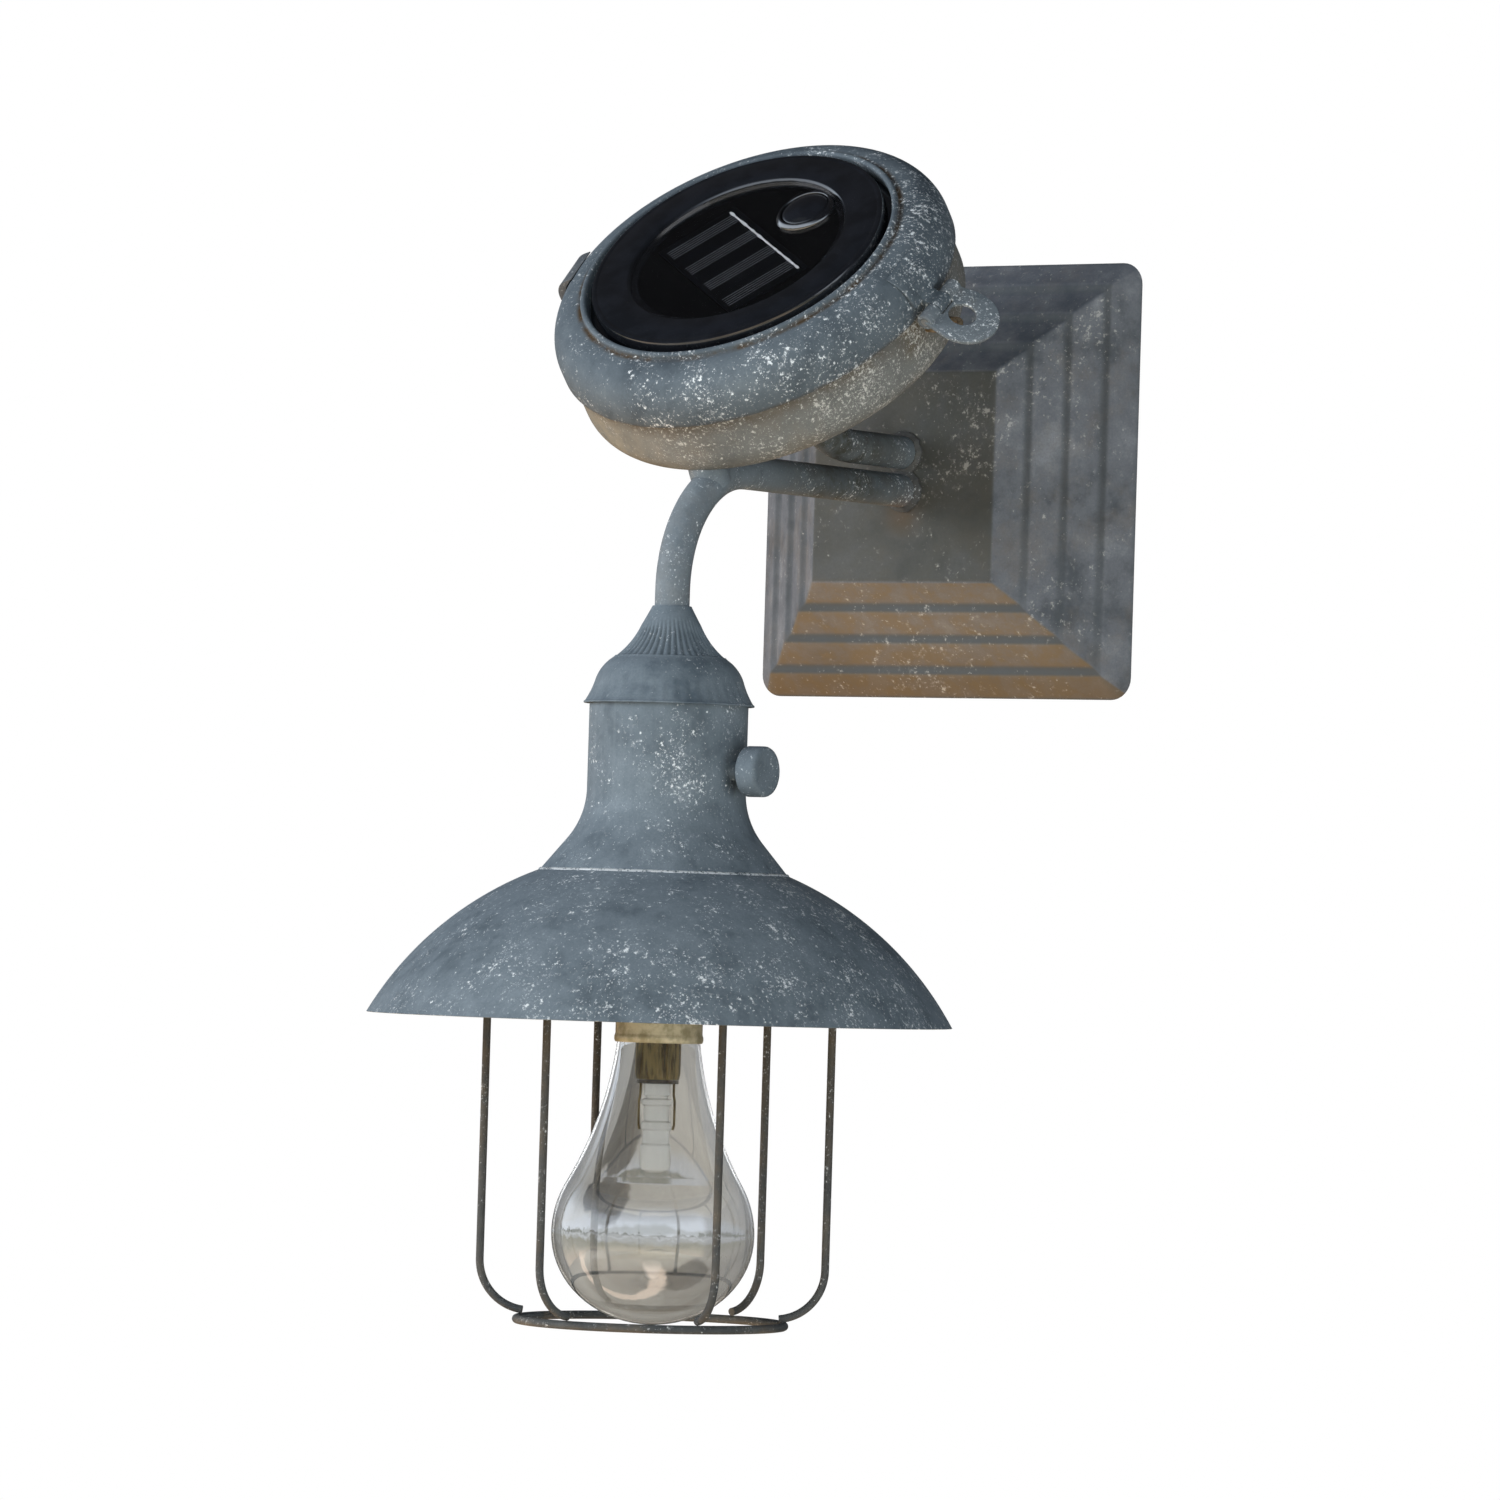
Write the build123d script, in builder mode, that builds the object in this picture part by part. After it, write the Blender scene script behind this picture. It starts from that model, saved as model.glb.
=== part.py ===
from build123d import *
import os
from math import asin, atan2, cos, degrees, radians, sin, sqrt

# Solar wall lamp. Millimetres, +Z up. The wall is the plane y = 0 and the lamp stands out of it along -Y,
# with the origin at the middle of the wall plate's back, between its two keyholes.

# Gaps shared by every fit
weld_gap = 0.05
run_gap = 0.05
side_gap = 0.3
sheet = 1.0

# Wall plate, a hollow pan with a stepped slope
plate_size = 137.0
plate_corner = 7.0
step_corner = 0.6
plate_depth = 28.4
panel_size = 66.0
step_count = 4
tread = 2.6
panel_sheet = 1.4

# Hanger strap with two keyholes, across the back of the plate
strap_height = 26.0
strap_sheet = 1.5
strap_rise = 5.0
keyhole_pitch = 80.0
keyhole_r = 5.0
keyslot_w = 5.0
keyslot_rise = 9.0

# Arm and solar strut, two bent tubes
tube_d = 10.5
tube_wall = 1.0
tube_gap = 1.5
tube_inset = 4.0
arm_drop = 4.5
arm_bend = 38.0
arm_tail = 4.7
arm_end_len = 32.8
lamp_reach = 157.5
strut_run = 77.5
strut_bend = 40.0
weld_size = 2.0
saddle_r = 6.0
saddle_gap = 0.3

# Solar head, a tilted canister with a hinged ring for a lid
panel_tilt = 42.3
can_margin = 14.7
can_depth = 42.3
can_corner = 10.0
seat_sheet = 1.2
seat_gap = 2.0
gasket_t = 2.0
lid_gap = 1.0
lid_skirt = 4.5
crown_drop = 3.0
groove_w = 0.5
lip_gap = 2.2
lip_w = 2.0
lip_lift = 0.1
lip_drop = 1.2
latch_turn = -5.0
hinge_turn = 181.0

# Hinge and hasp of the lid
pin_d = 2.5
knuckle_r = 2.6
knuckle_w = 6.0
leaf_w = 14.0
leaf_t = 1.3
leaf_wrap = 58.0
hinge_out = 3.5
hinge_drop = 1.0
bracket_h = 13.0
hasp_out = 4.5
hasp_lift = 1.0
tab_w = 18.5
tab_len = 19.3
tab_tip_r = 10.6
tab_sheet = 1.4
tab_hole_r = 4.3
tab_hole_at = 7.9
tab_droop = 31.0
staple_wire = 1.8
staple_w = 5.2
staple_out = 10.5

# Solar module, a moulded puck
frame_r = 47.3
frame_edge = 0.6
body_step = 0.8
body_wall = 2.0
frame_top = 3.5
flange_gap = 5.0
flange_drop = 6.0
flange_t = 3.0
module_depth = 33.0
base_t = 2.0
frame_rim = 12.7
window_t = 1.4
window_sink = 1.15
window_ledge = 2.0
carrier_t = 1.2
carrier_lap = 2.0
cell_share = 0.7975
cell_shape = 0.5385
cell_t = 0.7
cell_angle = -36.7
cell_shift = (-0.0173, -0.0896)
line_t = 0.15
bus_w = 0.9
bus_inset = 1.5
bus_edge = 2.5
finger_groups = 4
finger_share = 0.2577
fingers_each = 4
finger_step = 1.2
finger_w = 0.35
finger_inset = 4.0
button_place = (0.4364, 0.552)
bezel_share = 0.2775
bezel_w = 1.9
bezel_lift = 0.3
button_gap = 0.08
button_crown = 1.5
button_side = 1.2
button_stem_r = 2.2
button_travel = 1.2
board_t = 1.6
board_drop = 12.0
board_gap = 1.0
post_r = 3.0
post_count = 3
post_inset = 5.5
screw_r = 1.1
screw_head_r = 2.4
screw_head_t = 1.6
switch_side = 6.0
switch_gap = 0.1
battery_r = 7.1
battery_length = 50.0
battery_back = 15.0
battery_gap = 0.1
bay_wall = 1.5
bay_height = 7.0
contact_t = 0.4
contact_side = 11.0
door_lap = 3.0
door_t = 1.6
lead_d = 3.0
lead_turn_y = 14.0
lead_turn_r = 5.9

# Lamp head, on a vertical axis at the arm's end
cap_height = 29.8
cap_sheet = 0.7
cap_collar = 0.6
cap_waist_r = 9.0
cap_waist = 6.4
cap_flute_r = 16.3
cap_flute = 14.6
cap_step = 0.5
cap_dome_r = 23.2
cap_dome = 22.4
cap_lip_r = 25.9
cap_lip = 0.6
cap_bow = 0.6
neck_r = 23.9
neck_corner = 4.0
neck_length = 25.5
flare_r = 24.0
flare_angle = 39.5
seam_drop = 50.3
shade_rim_r = 88.0
shade_drop = 44.3
nut_flat = 16.0
nut_t = 5.0
pipe_wall = 1.0
pipe_lap = 10.0
socket_r = 17.0
socket_floor = 4.0
socket_length = 35.0
socket_rim = 0.6
knob_drop = 19.5
knob_r = 7.6
knob_w = 7.0
knob_edge = 1.2
knob_out = 5.1
knob_grip = 5.0
shaft_r = 2.9
shaft_gap = 0.1
bush_r = 4.6
bush_gap = 0.4
switch_body_w = 12.0
switch_body_l = 14.8
switch_lap = 1.9

# Bulb
base_r = 13.4
base_length = 28.4
base_wall = 0.8
base_below_rim = 6.8
glass_t = 0.8
glass_seat = 4.0
glass_neck_r = 12.5
glass_waist = (17.4, 22.1)
glass_r = 30.5
glass_centre = 57.6
glass_bottom = 27.0
glass_turn = 27.9
led_stem_r = 6.85
led_stem_below = 11.1
led_board_t = 1.2
guide_r = 4.7
guide_length = 26.8

# Guard cage
cage_count = 6
cage_turn = -5.5
cage_r = 52.5
cage_wire = 2.4
cage_bend = 15.0
cage_bend_angle = 84.0
ring_r = 40.2
ring_wire = 2.6
ring_below_rim = 90.7

# Worked out: wall plate and tubes
riser_run = ((plate_size - panel_size) / 2 - (step_count - 1) * tread) / step_count
riser_rise = plate_depth / step_count
tube_r = tube_d / 2
tube_bore = tube_r - tube_wall
arm_z = -arm_drop
strut_z = arm_z + tube_d + tube_gap
arm_end_z = arm_z - arm_bend - arm_tail - arm_end_len
wall = Plane(origin=(0, 0, 0), x_dir=(1, 0, 0), z_dir=(0, -1, 0))

# Worked out: the canister slides along its axis until its corner lies on the arm's bend
can_r = frame_r + can_margin
across = Vector(1, 0, 0)
outward = Vector(0, -sin(radians(panel_tilt)), cos(radians(panel_tilt)))
upslope = Vector(0, cos(radians(panel_tilt)), sin(radians(panel_tilt)))
strut_corner = Vector(0, -strut_run, strut_z)
bend_centre = Vector(0, -(lamp_reach - arm_bend), arm_z - arm_bend)
corner_start = strut_corner + outward * can_corner - upslope * (can_r - can_corner)
corner_reach = arm_bend + tube_r + saddle_gap + can_corner
corner_offset = corner_start - bend_centre
along_axis = corner_offset.dot(outward)
strut_rise = sqrt(along_axis**2 - corner_offset.dot(corner_offset) + corner_reach**2) - along_axis
can_back = strut_corner + outward * strut_rise
head_top = can_back + outward * can_depth
can_corner_centre = corner_start + outward * strut_rise

# Worked out: planes of the solar head. Sections are drawn as radius and height above the disc's top.
head = Plane(origin=head_top, x_dir=across, z_dir=outward)
head_axis = Axis(head_top, outward)
head_section = Plane(origin=head_top, x_dir=across, z_dir=-upslope)


def latch_section(turn):
    way = across * cos(radians(turn)) + upslope * sin(radians(turn))
    along = upslope * cos(radians(turn)) - across * sin(radians(turn))
    return Plane(origin=head_top, x_dir=way, z_dir=-along)


hasp_section = latch_section(latch_turn)
hinge_section = latch_section(hinge_turn)

# Worked out: lid, seat and module heights
body_r = frame_r - body_step
flange_r = can_r - sheet - flange_gap
post_at = body_r - body_wall - post_inset
rim_drop = flange_drop + flange_t + gasket_t
seat_bore = body_r + seat_gap
lid_r = can_r + lid_gap + sheet
lip_r = frame_r + lip_gap
crown_centre = lip_r + lip_w + groove_w
crown_r = lid_r - crown_centre
crown_h = -(crown_drop + crown_r)
lid_depth = crown_drop + crown_r + lid_skirt
pin_r = pin_d / 2
hinge_at = (lid_r + hinge_out, -(lid_depth + hinge_drop))
hasp_at = (lid_r + hasp_out, -(lid_depth - hasp_lift))
window_r = frame_r - frame_rim
window_floor = window_sink + window_t
carrier_top = frame_top + weld_gap
ledge_r = window_r - window_ledge
cell_length = 2 * ledge_r * cell_share
cell_width = cell_length * cell_shape
cell_at = (cell_shift[0] * window_r, cell_shift[1] * window_r)
cell_top = carrier_top - cell_t
bus_length = cell_length - 2 * bus_inset
finger_pitch = cell_length * finger_share
finger_length = cell_width - finger_inset
button_at = (button_place[0] * window_r, button_place[1] * window_r)
bezel_r = window_r * bezel_share
base_floor = module_depth - base_t
button_r = bezel_r - bezel_w - button_gap

# Worked out: lamp head heights
cap_top = arm_z - arm_bend - arm_tail
cap_bottom = cap_top - cap_height
neck_top = cap_bottom + neck_corner
flare_z = cap_bottom - neck_length
seam_z = cap_bottom - seam_drop
rim_z = seam_z - shade_drop
flare_end_r = neck_r + flare_r * (1 - cos(radians(flare_angle)))
flare_end_z = flare_z - flare_r * sin(radians(flare_angle))
seam_r = flare_end_r + (flare_end_z - seam_z) * sin(radians(flare_angle)) / cos(radians(flare_angle))
dome_z = (shade_rim_r**2 + rim_z**2 - seam_r**2 - seam_z**2) / (2 * (rim_z - seam_z))
dome_r = sqrt(seam_r**2 + (seam_z - dome_z) ** 2)
base_bottom = rim_z - base_below_rim
base_top = base_bottom + base_length
socket_bottom = rim_z + socket_rim
socket_top = socket_bottom + socket_length
knob_z = cap_bottom - knob_drop
ring_z = rim_z - ring_below_rim
lamp_section = Plane(origin=(0, -lamp_reach, 0), x_dir=(1, 0, 0), z_dir=(0, -1, 0))
lamp_axis = Axis((0, -lamp_reach, 0), (0, 0, 1))
knob_plane = Plane(origin=(0, -lamp_reach, knob_z), x_dir=(0, 1, 0), z_dir=(1, 0, 0))


# Shared shapes
def lamp_level(z):
    return Plane(origin=(0, -lamp_reach, z), x_dir=(1, 0, 0), z_dir=(0, 0, 1))


def turned(plane, outline, axis):
    with BuildPart() as ring:
        with BuildSketch(plane):
            with BuildLine():
                Polyline(*outline, close=True)
            make_face()
        revolve(axis=axis)
    return ring


def tube_ring(plane, low, high, outer, inner):
    with BuildPart() as ring:
        with BuildSketch(plane.offset(low)):
            Circle(outer)
            if inner > 0:
                Circle(inner, mode=Mode.SUBTRACT)
        extrude(amount=high - low)
    return ring


def bent_tube(points, bends, outer, inner=0.0):
    with BuildPart() as tube:
        with BuildLine() as route:
            FilletPolyline(*points, radius=bends)
        with BuildSketch(Plane(origin=route.line @ 0, z_dir=route.line % 0)):
            Circle(outer)
            if inner > 0:
                Circle(inner, mode=Mode.SUBTRACT)
        sweep()
    return tube


# Wall plate: the same stack of risers, pushed towards the wall, hollows the pan
def plate_stack(push):
    with BuildPart() as stack:
        for step in range(step_count):
            foot = plate_size - 2 * step * (riser_run + tread)
            head_size = foot - 2 * riser_run
            with BuildSketch(wall.offset(step * riser_rise - push)):
                RectangleRounded(foot, foot, plate_corner if step == 0 else step_corner)
            with BuildSketch(wall.offset((step + 1) * riser_rise - push)):
                RectangleRounded(head_size, head_size, step_corner)
            loft(ruled=True)
    return stack


with BuildPart() as wall_plate:
    add(plate_stack(0).part)
    add(plate_stack(panel_sheet).part, mode=Mode.SUBTRACT)
    with BuildSketch(wall.offset(plate_depth)):
        with Locations((0, arm_z), (0, strut_z)):
            Circle(tube_r + weld_gap)
    extrude(amount=-2 * panel_sheet, mode=Mode.SUBTRACT)

with BuildPart() as hanger_strap:
    with BuildSketch(wall):
        with Locations((0, strap_rise)):
            Rectangle(plate_size, strap_height)
        with Locations((-keyhole_pitch / 2, 0), (keyhole_pitch / 2, 0)):
            Circle(keyhole_r, mode=Mode.SUBTRACT)
        with Locations((-keyhole_pitch / 2, keyslot_rise / 2), (keyhole_pitch / 2, keyslot_rise / 2)):
            Rectangle(keyslot_w, keyslot_rise, mode=Mode.SUBTRACT)
        with Locations((-keyhole_pitch / 2, keyslot_rise), (keyhole_pitch / 2, keyslot_rise)):
            Circle(keyslot_w / 2, mode=Mode.SUBTRACT)
    extrude(amount=strap_sheet)
    add(plate_stack(panel_sheet + weld_gap).part, mode=Mode.INTERSECT)

# Arm and strut
tube_start = plate_depth - tube_inset
arm_points = [(0, -tube_start, arm_z), (0, -lamp_reach, arm_z), (0, -lamp_reach, arm_end_z)]
arm_tube = bent_tube(arm_points, arm_bend, tube_r, tube_bore)
strut_points = [(0, -tube_start, strut_z), strut_corner, can_back]
solar_strut = bent_tube(strut_points, strut_bend, tube_r, tube_bore)

with BuildPart() as panel_weld:
    for level in (arm_z, strut_z):
        with BuildSketch(wall.offset(plate_depth)):
            with Locations((0, level)):
                Circle(tube_r + weld_size)
        with BuildSketch(wall.offset(plate_depth + weld_size)):
            with Locations((0, level)):
                Circle(tube_r + 2 * weld_gap)
        loft()
    with BuildSketch(wall.offset(plate_depth)):
        with Locations((0, arm_z), (0, strut_z)):
            Circle(tube_r + weld_gap)
    extrude(amount=weld_size, mode=Mode.SUBTRACT)


# Canister
def can_solid(inset, top):
    radius = can_r - inset
    corner = can_corner - inset
    floor = inset - can_depth
    with BuildPart() as solid:
        with BuildSketch(head_section):
            with BuildLine():
                Polyline((0, top), (0, floor), (radius - corner, floor))
                JernArc((radius - corner, floor), (1, 0), corner, 90)
                Polyline((radius, floor + corner), (radius, top), (0, top))
            make_face()
        revolve(axis=head_axis)
    return solid


with BuildPart() as solar_housing:
    add(can_solid(0, -rim_drop).part)
    add(can_solid(sheet, 0).part, mode=Mode.SUBTRACT)
    with BuildSketch(head.offset(-can_depth)):
        Circle(tube_bore)
    extrude(amount=sheet, mode=Mode.SUBTRACT)

can_weld = turned(
    head_section,
    [
        (tube_r + weld_gap, -can_depth),
        (tube_r + weld_size, -can_depth),
        (tube_r + weld_gap, -can_depth - weld_size),
    ],
    head_axis,
)

saddle_way = (can_corner_centre - bend_centre).normalized()
with BuildPart() as bend_saddle:
    with BuildSketch(Plane(origin=bend_centre + saddle_way * arm_bend, x_dir=across, z_dir=saddle_way)):
        Circle(saddle_r)
    extrude(amount=tube_r + saddle_gap + can_corner)
    add(bent_tube(arm_points, arm_bend, tube_r + weld_gap).part, mode=Mode.SUBTRACT)
    add(can_solid(-weld_gap, -rim_drop).part, mode=Mode.SUBTRACT)

seat_ring = tube_ring(head, -rim_drop - seat_sheet, -rim_drop, can_r - sheet - weld_gap, seat_bore)
module_gasket = tube_ring(head, -rim_drop, -rim_drop + gasket_t, flange_r, seat_bore)

# Lid ring: upturned lip, groove, round shoulder and short skirt
inner_crown = crown_r - sheet
lip_mid = lip_r + lip_w / 2
lip_base = -flange_drop + lip_lift
lip_round = -lip_drop - lip_w / 2
with BuildPart() as lid_ring:
    with BuildSketch(head_section):
        with BuildLine():
            Line((lip_r, lip_base), (lip_r, lip_round))
            ThreePointArc((lip_r, lip_round), (lip_mid, -lip_drop), (lip_r + lip_w, lip_round))
            Polyline((lip_r + lip_w, lip_round), (lip_r + lip_w, -crown_drop), (crown_centre, -crown_drop))
            CenterArc((crown_centre, crown_h), crown_r, 90, -90)
            Polyline(
                (lid_r, crown_h),
                (lid_r, -lid_depth),
                (lid_r - sheet, -lid_depth),
                (lid_r - sheet, crown_h),
            )
            CenterArc((crown_centre, crown_h), inner_crown, 0, 90)
            Polyline(
                (crown_centre, crown_h + inner_crown),
                (lip_r + lip_w, crown_h + inner_crown),
                (lip_r + lip_w, lip_base),
                (lip_r, lip_base),
            )
        make_face()
    revolve(axis=head_axis)


# Straps welded over the lid's shoulder, each with one knuckle
def lid_strap(section, pin_at, width):
    inner = crown_r + weld_gap
    outer = inner + leaf_t
    with BuildPart() as strap:
        with BuildSketch(section):
            with BuildLine():
                near = CenterArc((crown_centre, crown_h), inner, 0, leaf_wrap)
                far = CenterArc((crown_centre, crown_h), outer, 0, leaf_wrap)
                Line(near @ 0, far @ 0)
                Line(near @ 1, far @ 1)
            make_face()
        extrude(amount=width / 2, both=True)
        with BuildSketch(section):
            with BuildLine():
                Polyline(
                    (crown_centre + inner, crown_h + leaf_t),
                    (crown_centre + outer, crown_h + leaf_t),
                    (pin_at[0] + knuckle_r * cos(radians(45)), pin_at[1] + knuckle_r * sin(radians(45))),
                    pin_at,
                    (pin_at[0] - knuckle_r, pin_at[1]),
                    (crown_centre + inner, crown_h),
                    close=True,
                )
            make_face()
            with Locations(pin_at):
                Circle(knuckle_r)
        extrude(amount=knuckle_w / 2, both=True)
        with BuildSketch(section):
            with Locations(pin_at):
                Circle(pin_r + run_gap)
        extrude(amount=width, both=True, mode=Mode.SUBTRACT)
        with BuildSketch(head_section):
            with BuildLine():
                CenterArc((crown_centre, crown_h), inner, 0, 90)
                Polyline(
                    (crown_centre, crown_h + inner),
                    (0, crown_h + inner),
                    (0, crown_h - lid_skirt),
                    (crown_centre + inner, crown_h - lid_skirt),
                    (crown_centre + inner, crown_h),
                )
            make_face()
        revolve(axis=head_axis, mode=Mode.SUBTRACT)
    return strap


def latch_pin(section, pin_at, length):
    with BuildPart() as pin:
        with BuildSketch(section):
            with Locations(pin_at):
                Circle(pin_r)
        extrude(amount=length / 2, both=True)
    return pin


hinge_strap = lid_strap(hinge_section, hinge_at, leaf_w)
hinge_pin = latch_pin(hinge_section, hinge_at, leaf_w)
hasp_strap = lid_strap(hasp_section, hasp_at, leaf_w)
hasp_pin = latch_pin(hasp_section, hasp_at, tab_w)

# Hinge bracket on the canister's wall, with a knuckle each side of the lid's
with BuildPart() as hinge_bracket:
    leaf_foot = hinge_at[1] - bracket_h
    leaf_face = can_r + weld_gap
    with BuildSketch(hinge_section):
        with BuildLine():
            Polyline(
                (leaf_face, leaf_foot),
                (leaf_face + leaf_t, leaf_foot),
                (leaf_face + leaf_t, hinge_at[1] - 2 * knuckle_r),
                (hinge_at[0] + knuckle_r * cos(radians(45)), hinge_at[1] - knuckle_r * sin(radians(45))),
                hinge_at,
                (hinge_at[0] - knuckle_r, hinge_at[1]),
                (leaf_face, hinge_at[1] - knuckle_r),
                close=True,
            )
        make_face()
        with Locations(hinge_at):
            Circle(knuckle_r)
    extrude(amount=leaf_w / 2, both=True)
    with BuildSketch(hinge_section):
        with Locations(hinge_at):
            Rectangle(2 * (hinge_out + lid_gap + sheet), 4 * knuckle_r)
    extrude(amount=knuckle_w / 2 + side_gap, both=True, mode=Mode.SUBTRACT)
    with BuildSketch(hinge_section):
        with Locations(hinge_at):
            Circle(pin_r + run_gap / 2)
    extrude(amount=leaf_w, both=True, mode=Mode.SUBTRACT)
    add(can_solid(-weld_gap, -rim_drop).part, mode=Mode.SUBTRACT)

# Hasp tab: a pierced plate on two knuckles, drooping from its pin
hasp_along = -hasp_section.z_dir
hasp_origin = hasp_section.from_local_coords(Vector(*hasp_at))
tab_way = hasp_section.x_dir * cos(radians(tab_droop)) - outward * sin(radians(tab_droop))
tab_plane = Plane(origin=hasp_origin, x_dir=tab_way, z_dir=tab_way.cross(hasp_along))
knuckle_clear = knuckle_w / 2 + side_gap
with BuildPart() as hasp_tab:
    with BuildSketch(tab_plane):
        with Locations((tab_sheet / 2, 0)):
            Rectangle(tab_sheet, tab_w)
        with Locations((tab_len - tab_tip_r, 0)):
            Circle(tab_tip_r)
        make_hull()
        with Locations((tab_hole_at, 0)):
            Circle(tab_hole_r, mode=Mode.SUBTRACT)
    extrude(amount=tab_sheet / 2, both=True)
    for side in (-1, 1):
        with BuildSketch(Plane(origin=hasp_origin + hasp_along * side * knuckle_clear, z_dir=hasp_along * side)):
            Circle(knuckle_r)
        extrude(amount=tab_w / 2 - knuckle_clear)
    with BuildSketch(tab_plane):
        Rectangle(2 * (knuckle_r + side_gap), 2 * knuckle_clear)
    extrude(amount=knuckle_r + side_gap, both=True, mode=Mode.SUBTRACT)
    with BuildSketch(Plane(origin=hasp_origin, z_dir=hasp_along)):
        Circle(pin_r + run_gap)
    extrude(amount=tab_w, both=True, mode=Mode.SUBTRACT)

staple_level = hasp_at[1] - tab_hole_at
staple_foot = can_r + run_gap
staple_side = hasp_section.z_dir * (staple_w / 2)
staple_low = hasp_section.from_local_coords(Vector(staple_foot, staple_level))
staple_high = hasp_section.from_local_coords(Vector(staple_foot + staple_out, staple_level))
hasp_staple = bent_tube(
    [staple_low - staple_side, staple_high - staple_side, staple_high + staple_side, staple_low + staple_side],
    staple_w / 2 - weld_gap,
    staple_wire / 2,
)

# Solar module: puck with a flange, a window ledge and posts for the board
with BuildPart() as solar_frame:
    with BuildSketch(head_section):
        with BuildLine():
            Polyline(
                (window_r + weld_gap, 0),
                (frame_r - frame_edge, 0),
                (frame_r, -frame_edge),
                (frame_r, -flange_drop),
                (flange_r, -flange_drop),
                (flange_r, -flange_drop - flange_t),
                (body_r, -flange_drop - flange_t),
                (body_r, -base_floor),
                (body_r - body_wall, -base_floor),
                (body_r - body_wall, -frame_top),
                (ledge_r, -frame_top),
                (ledge_r, -window_floor),
                (window_r + weld_gap, -window_floor),
                close=True,
            )
        make_face()
    revolve(axis=head_axis)
    with BuildSketch(head.offset(-board_drop)):
        with PolarLocations(post_at, post_count):
            Circle(post_r)
    extrude(amount=board_drop - frame_top)
    with BuildSketch(head.offset(-board_drop)):
        with PolarLocations(post_at, post_count):
            Circle(screw_r)
    extrude(amount=board_drop - frame_top - sheet, mode=Mode.SUBTRACT)

with BuildPart() as solar_window:
    with BuildSketch(head.offset(-window_floor)):
        Circle(window_r)
        with Locations(button_at):
            Circle(bezel_r + weld_gap, mode=Mode.SUBTRACT)
    extrude(amount=window_t)

with BuildPart() as cell_carrier:
    with BuildSketch(head.offset(-carrier_top - carrier_t)):
        Circle(ledge_r + carrier_lap)
        with Locations(button_at):
            Circle(button_stem_r + side_gap, mode=Mode.SUBTRACT)
    extrude(amount=carrier_t)

with BuildPart() as solar_cell:
    with BuildSketch(head.offset(-carrier_top)):
        with Locations(Location(cell_at, cell_angle)):
            Rectangle(cell_length, cell_width)
    extrude(amount=cell_t)

with BuildPart() as cell_lines:
    bus_y = cell_width / 2 - bus_edge
    with BuildSketch(head.offset(-cell_top)):
        with Locations(Location(cell_at, cell_angle)):
            with Locations((0, bus_y)):
                Rectangle(bus_length, bus_w)
            for group in range(finger_groups):
                middle = (group - (finger_groups - 1) / 2) * finger_pitch
                with Locations((middle, bus_y - finger_length / 2)):
                    with GridLocations(finger_step, finger_length, fingers_each, 1):
                        Rectangle(finger_w, finger_length)
    extrude(amount=line_t)

with BuildPart() as button_bezel:
    with BuildSketch(head.offset(-window_floor)):
        with Locations(button_at):
            Circle(bezel_r)
            Circle(bezel_r - bezel_w, mode=Mode.SUBTRACT)
    extrude(amount=window_floor + bezel_lift)
    fillet(button_bezel.faces().sort_by(head_axis)[-1].edges(), bezel_w / 3)

button_middle = head.from_local_coords(Vector(*button_at))
button_section = Plane(origin=button_middle, x_dir=across, z_dir=-upslope)
stem_end = -(board_drop - switch_side / 2 - button_travel - switch_gap - sheet)
with BuildPart() as button:
    with BuildSketch(button_section):
        with BuildLine():
            Line((0, button_crown), (0, stem_end))
            Polyline((0, stem_end), (button_stem_r, stem_end), (button_stem_r, -button_side))
            Polyline((button_stem_r, -button_side), (button_r, -button_side), (button_r, 0))
            RadiusArc((button_r, 0), (0, button_crown), -(button_r**2 + button_crown**2) / (2 * button_crown))
        make_face()
    revolve(axis=Axis(button_middle, outward))

with BuildPart() as tact_switch:
    with BuildSketch(head.offset(-board_drop)):
        with Locations(button_at):
            Rectangle(switch_side, switch_side)
    extrude(amount=switch_side / 2)
    with BuildSketch(head.offset(-board_drop + switch_side / 2)):
        with Locations(button_at):
            Circle(button_stem_r - weld_gap)
    extrude(amount=sheet)

with BuildPart() as circuit_board:
    with BuildSketch(head.offset(-board_drop - board_t)):
        Circle(body_r - body_wall - board_gap)
        with PolarLocations(post_at, post_count):
            Circle(screw_r, mode=Mode.SUBTRACT)
    extrude(amount=board_t)

with BuildPart() as board_screws:
    with BuildSketch(head.offset(-board_drop - board_t)):
        with PolarLocations(post_at, post_count):
            Circle(screw_head_r)
    extrude(amount=-screw_head_t)
    with BuildSketch(head.offset(-board_drop - board_t)):
        with PolarLocations(post_at, post_count):
            Circle(screw_r - run_gap)
    extrude(amount=board_t + post_r)

# Battery bay in the module's base
bay_inner = (battery_length / 2 + contact_t + 2 * battery_gap, battery_r + 2 * battery_gap)
bay_open = (2 * bay_inner[0], 2 * bay_inner[1])
bay_middle = (0, -battery_back)
screw_x = bay_inner[0] + door_lap + screw_head_r
with BuildPart() as module_base:
    with BuildSketch(head.offset(-module_depth)):
        Circle(body_r)
    extrude(amount=base_t)
    with BuildSketch(head.offset(-base_floor)):
        Circle(body_r - body_wall - weld_gap)
        Circle(body_r - 2 * body_wall, mode=Mode.SUBTRACT)
    extrude(amount=flange_t)
    with BuildSketch(head.offset(-base_floor)):
        with Locations(bay_middle):
            Rectangle(bay_open[0] + 2 * bay_wall, bay_open[1] + 2 * bay_wall)
    extrude(amount=bay_height)
    with BuildSketch(head.offset(-module_depth)):
        with Locations(bay_middle):
            Rectangle(*bay_open)
        Circle(lead_d / 2 + run_gap)
        with Locations((-screw_x, -battery_back), (screw_x, -battery_back)):
            Circle(screw_r)
    extrude(amount=base_t + bay_height, mode=Mode.SUBTRACT)

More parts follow.
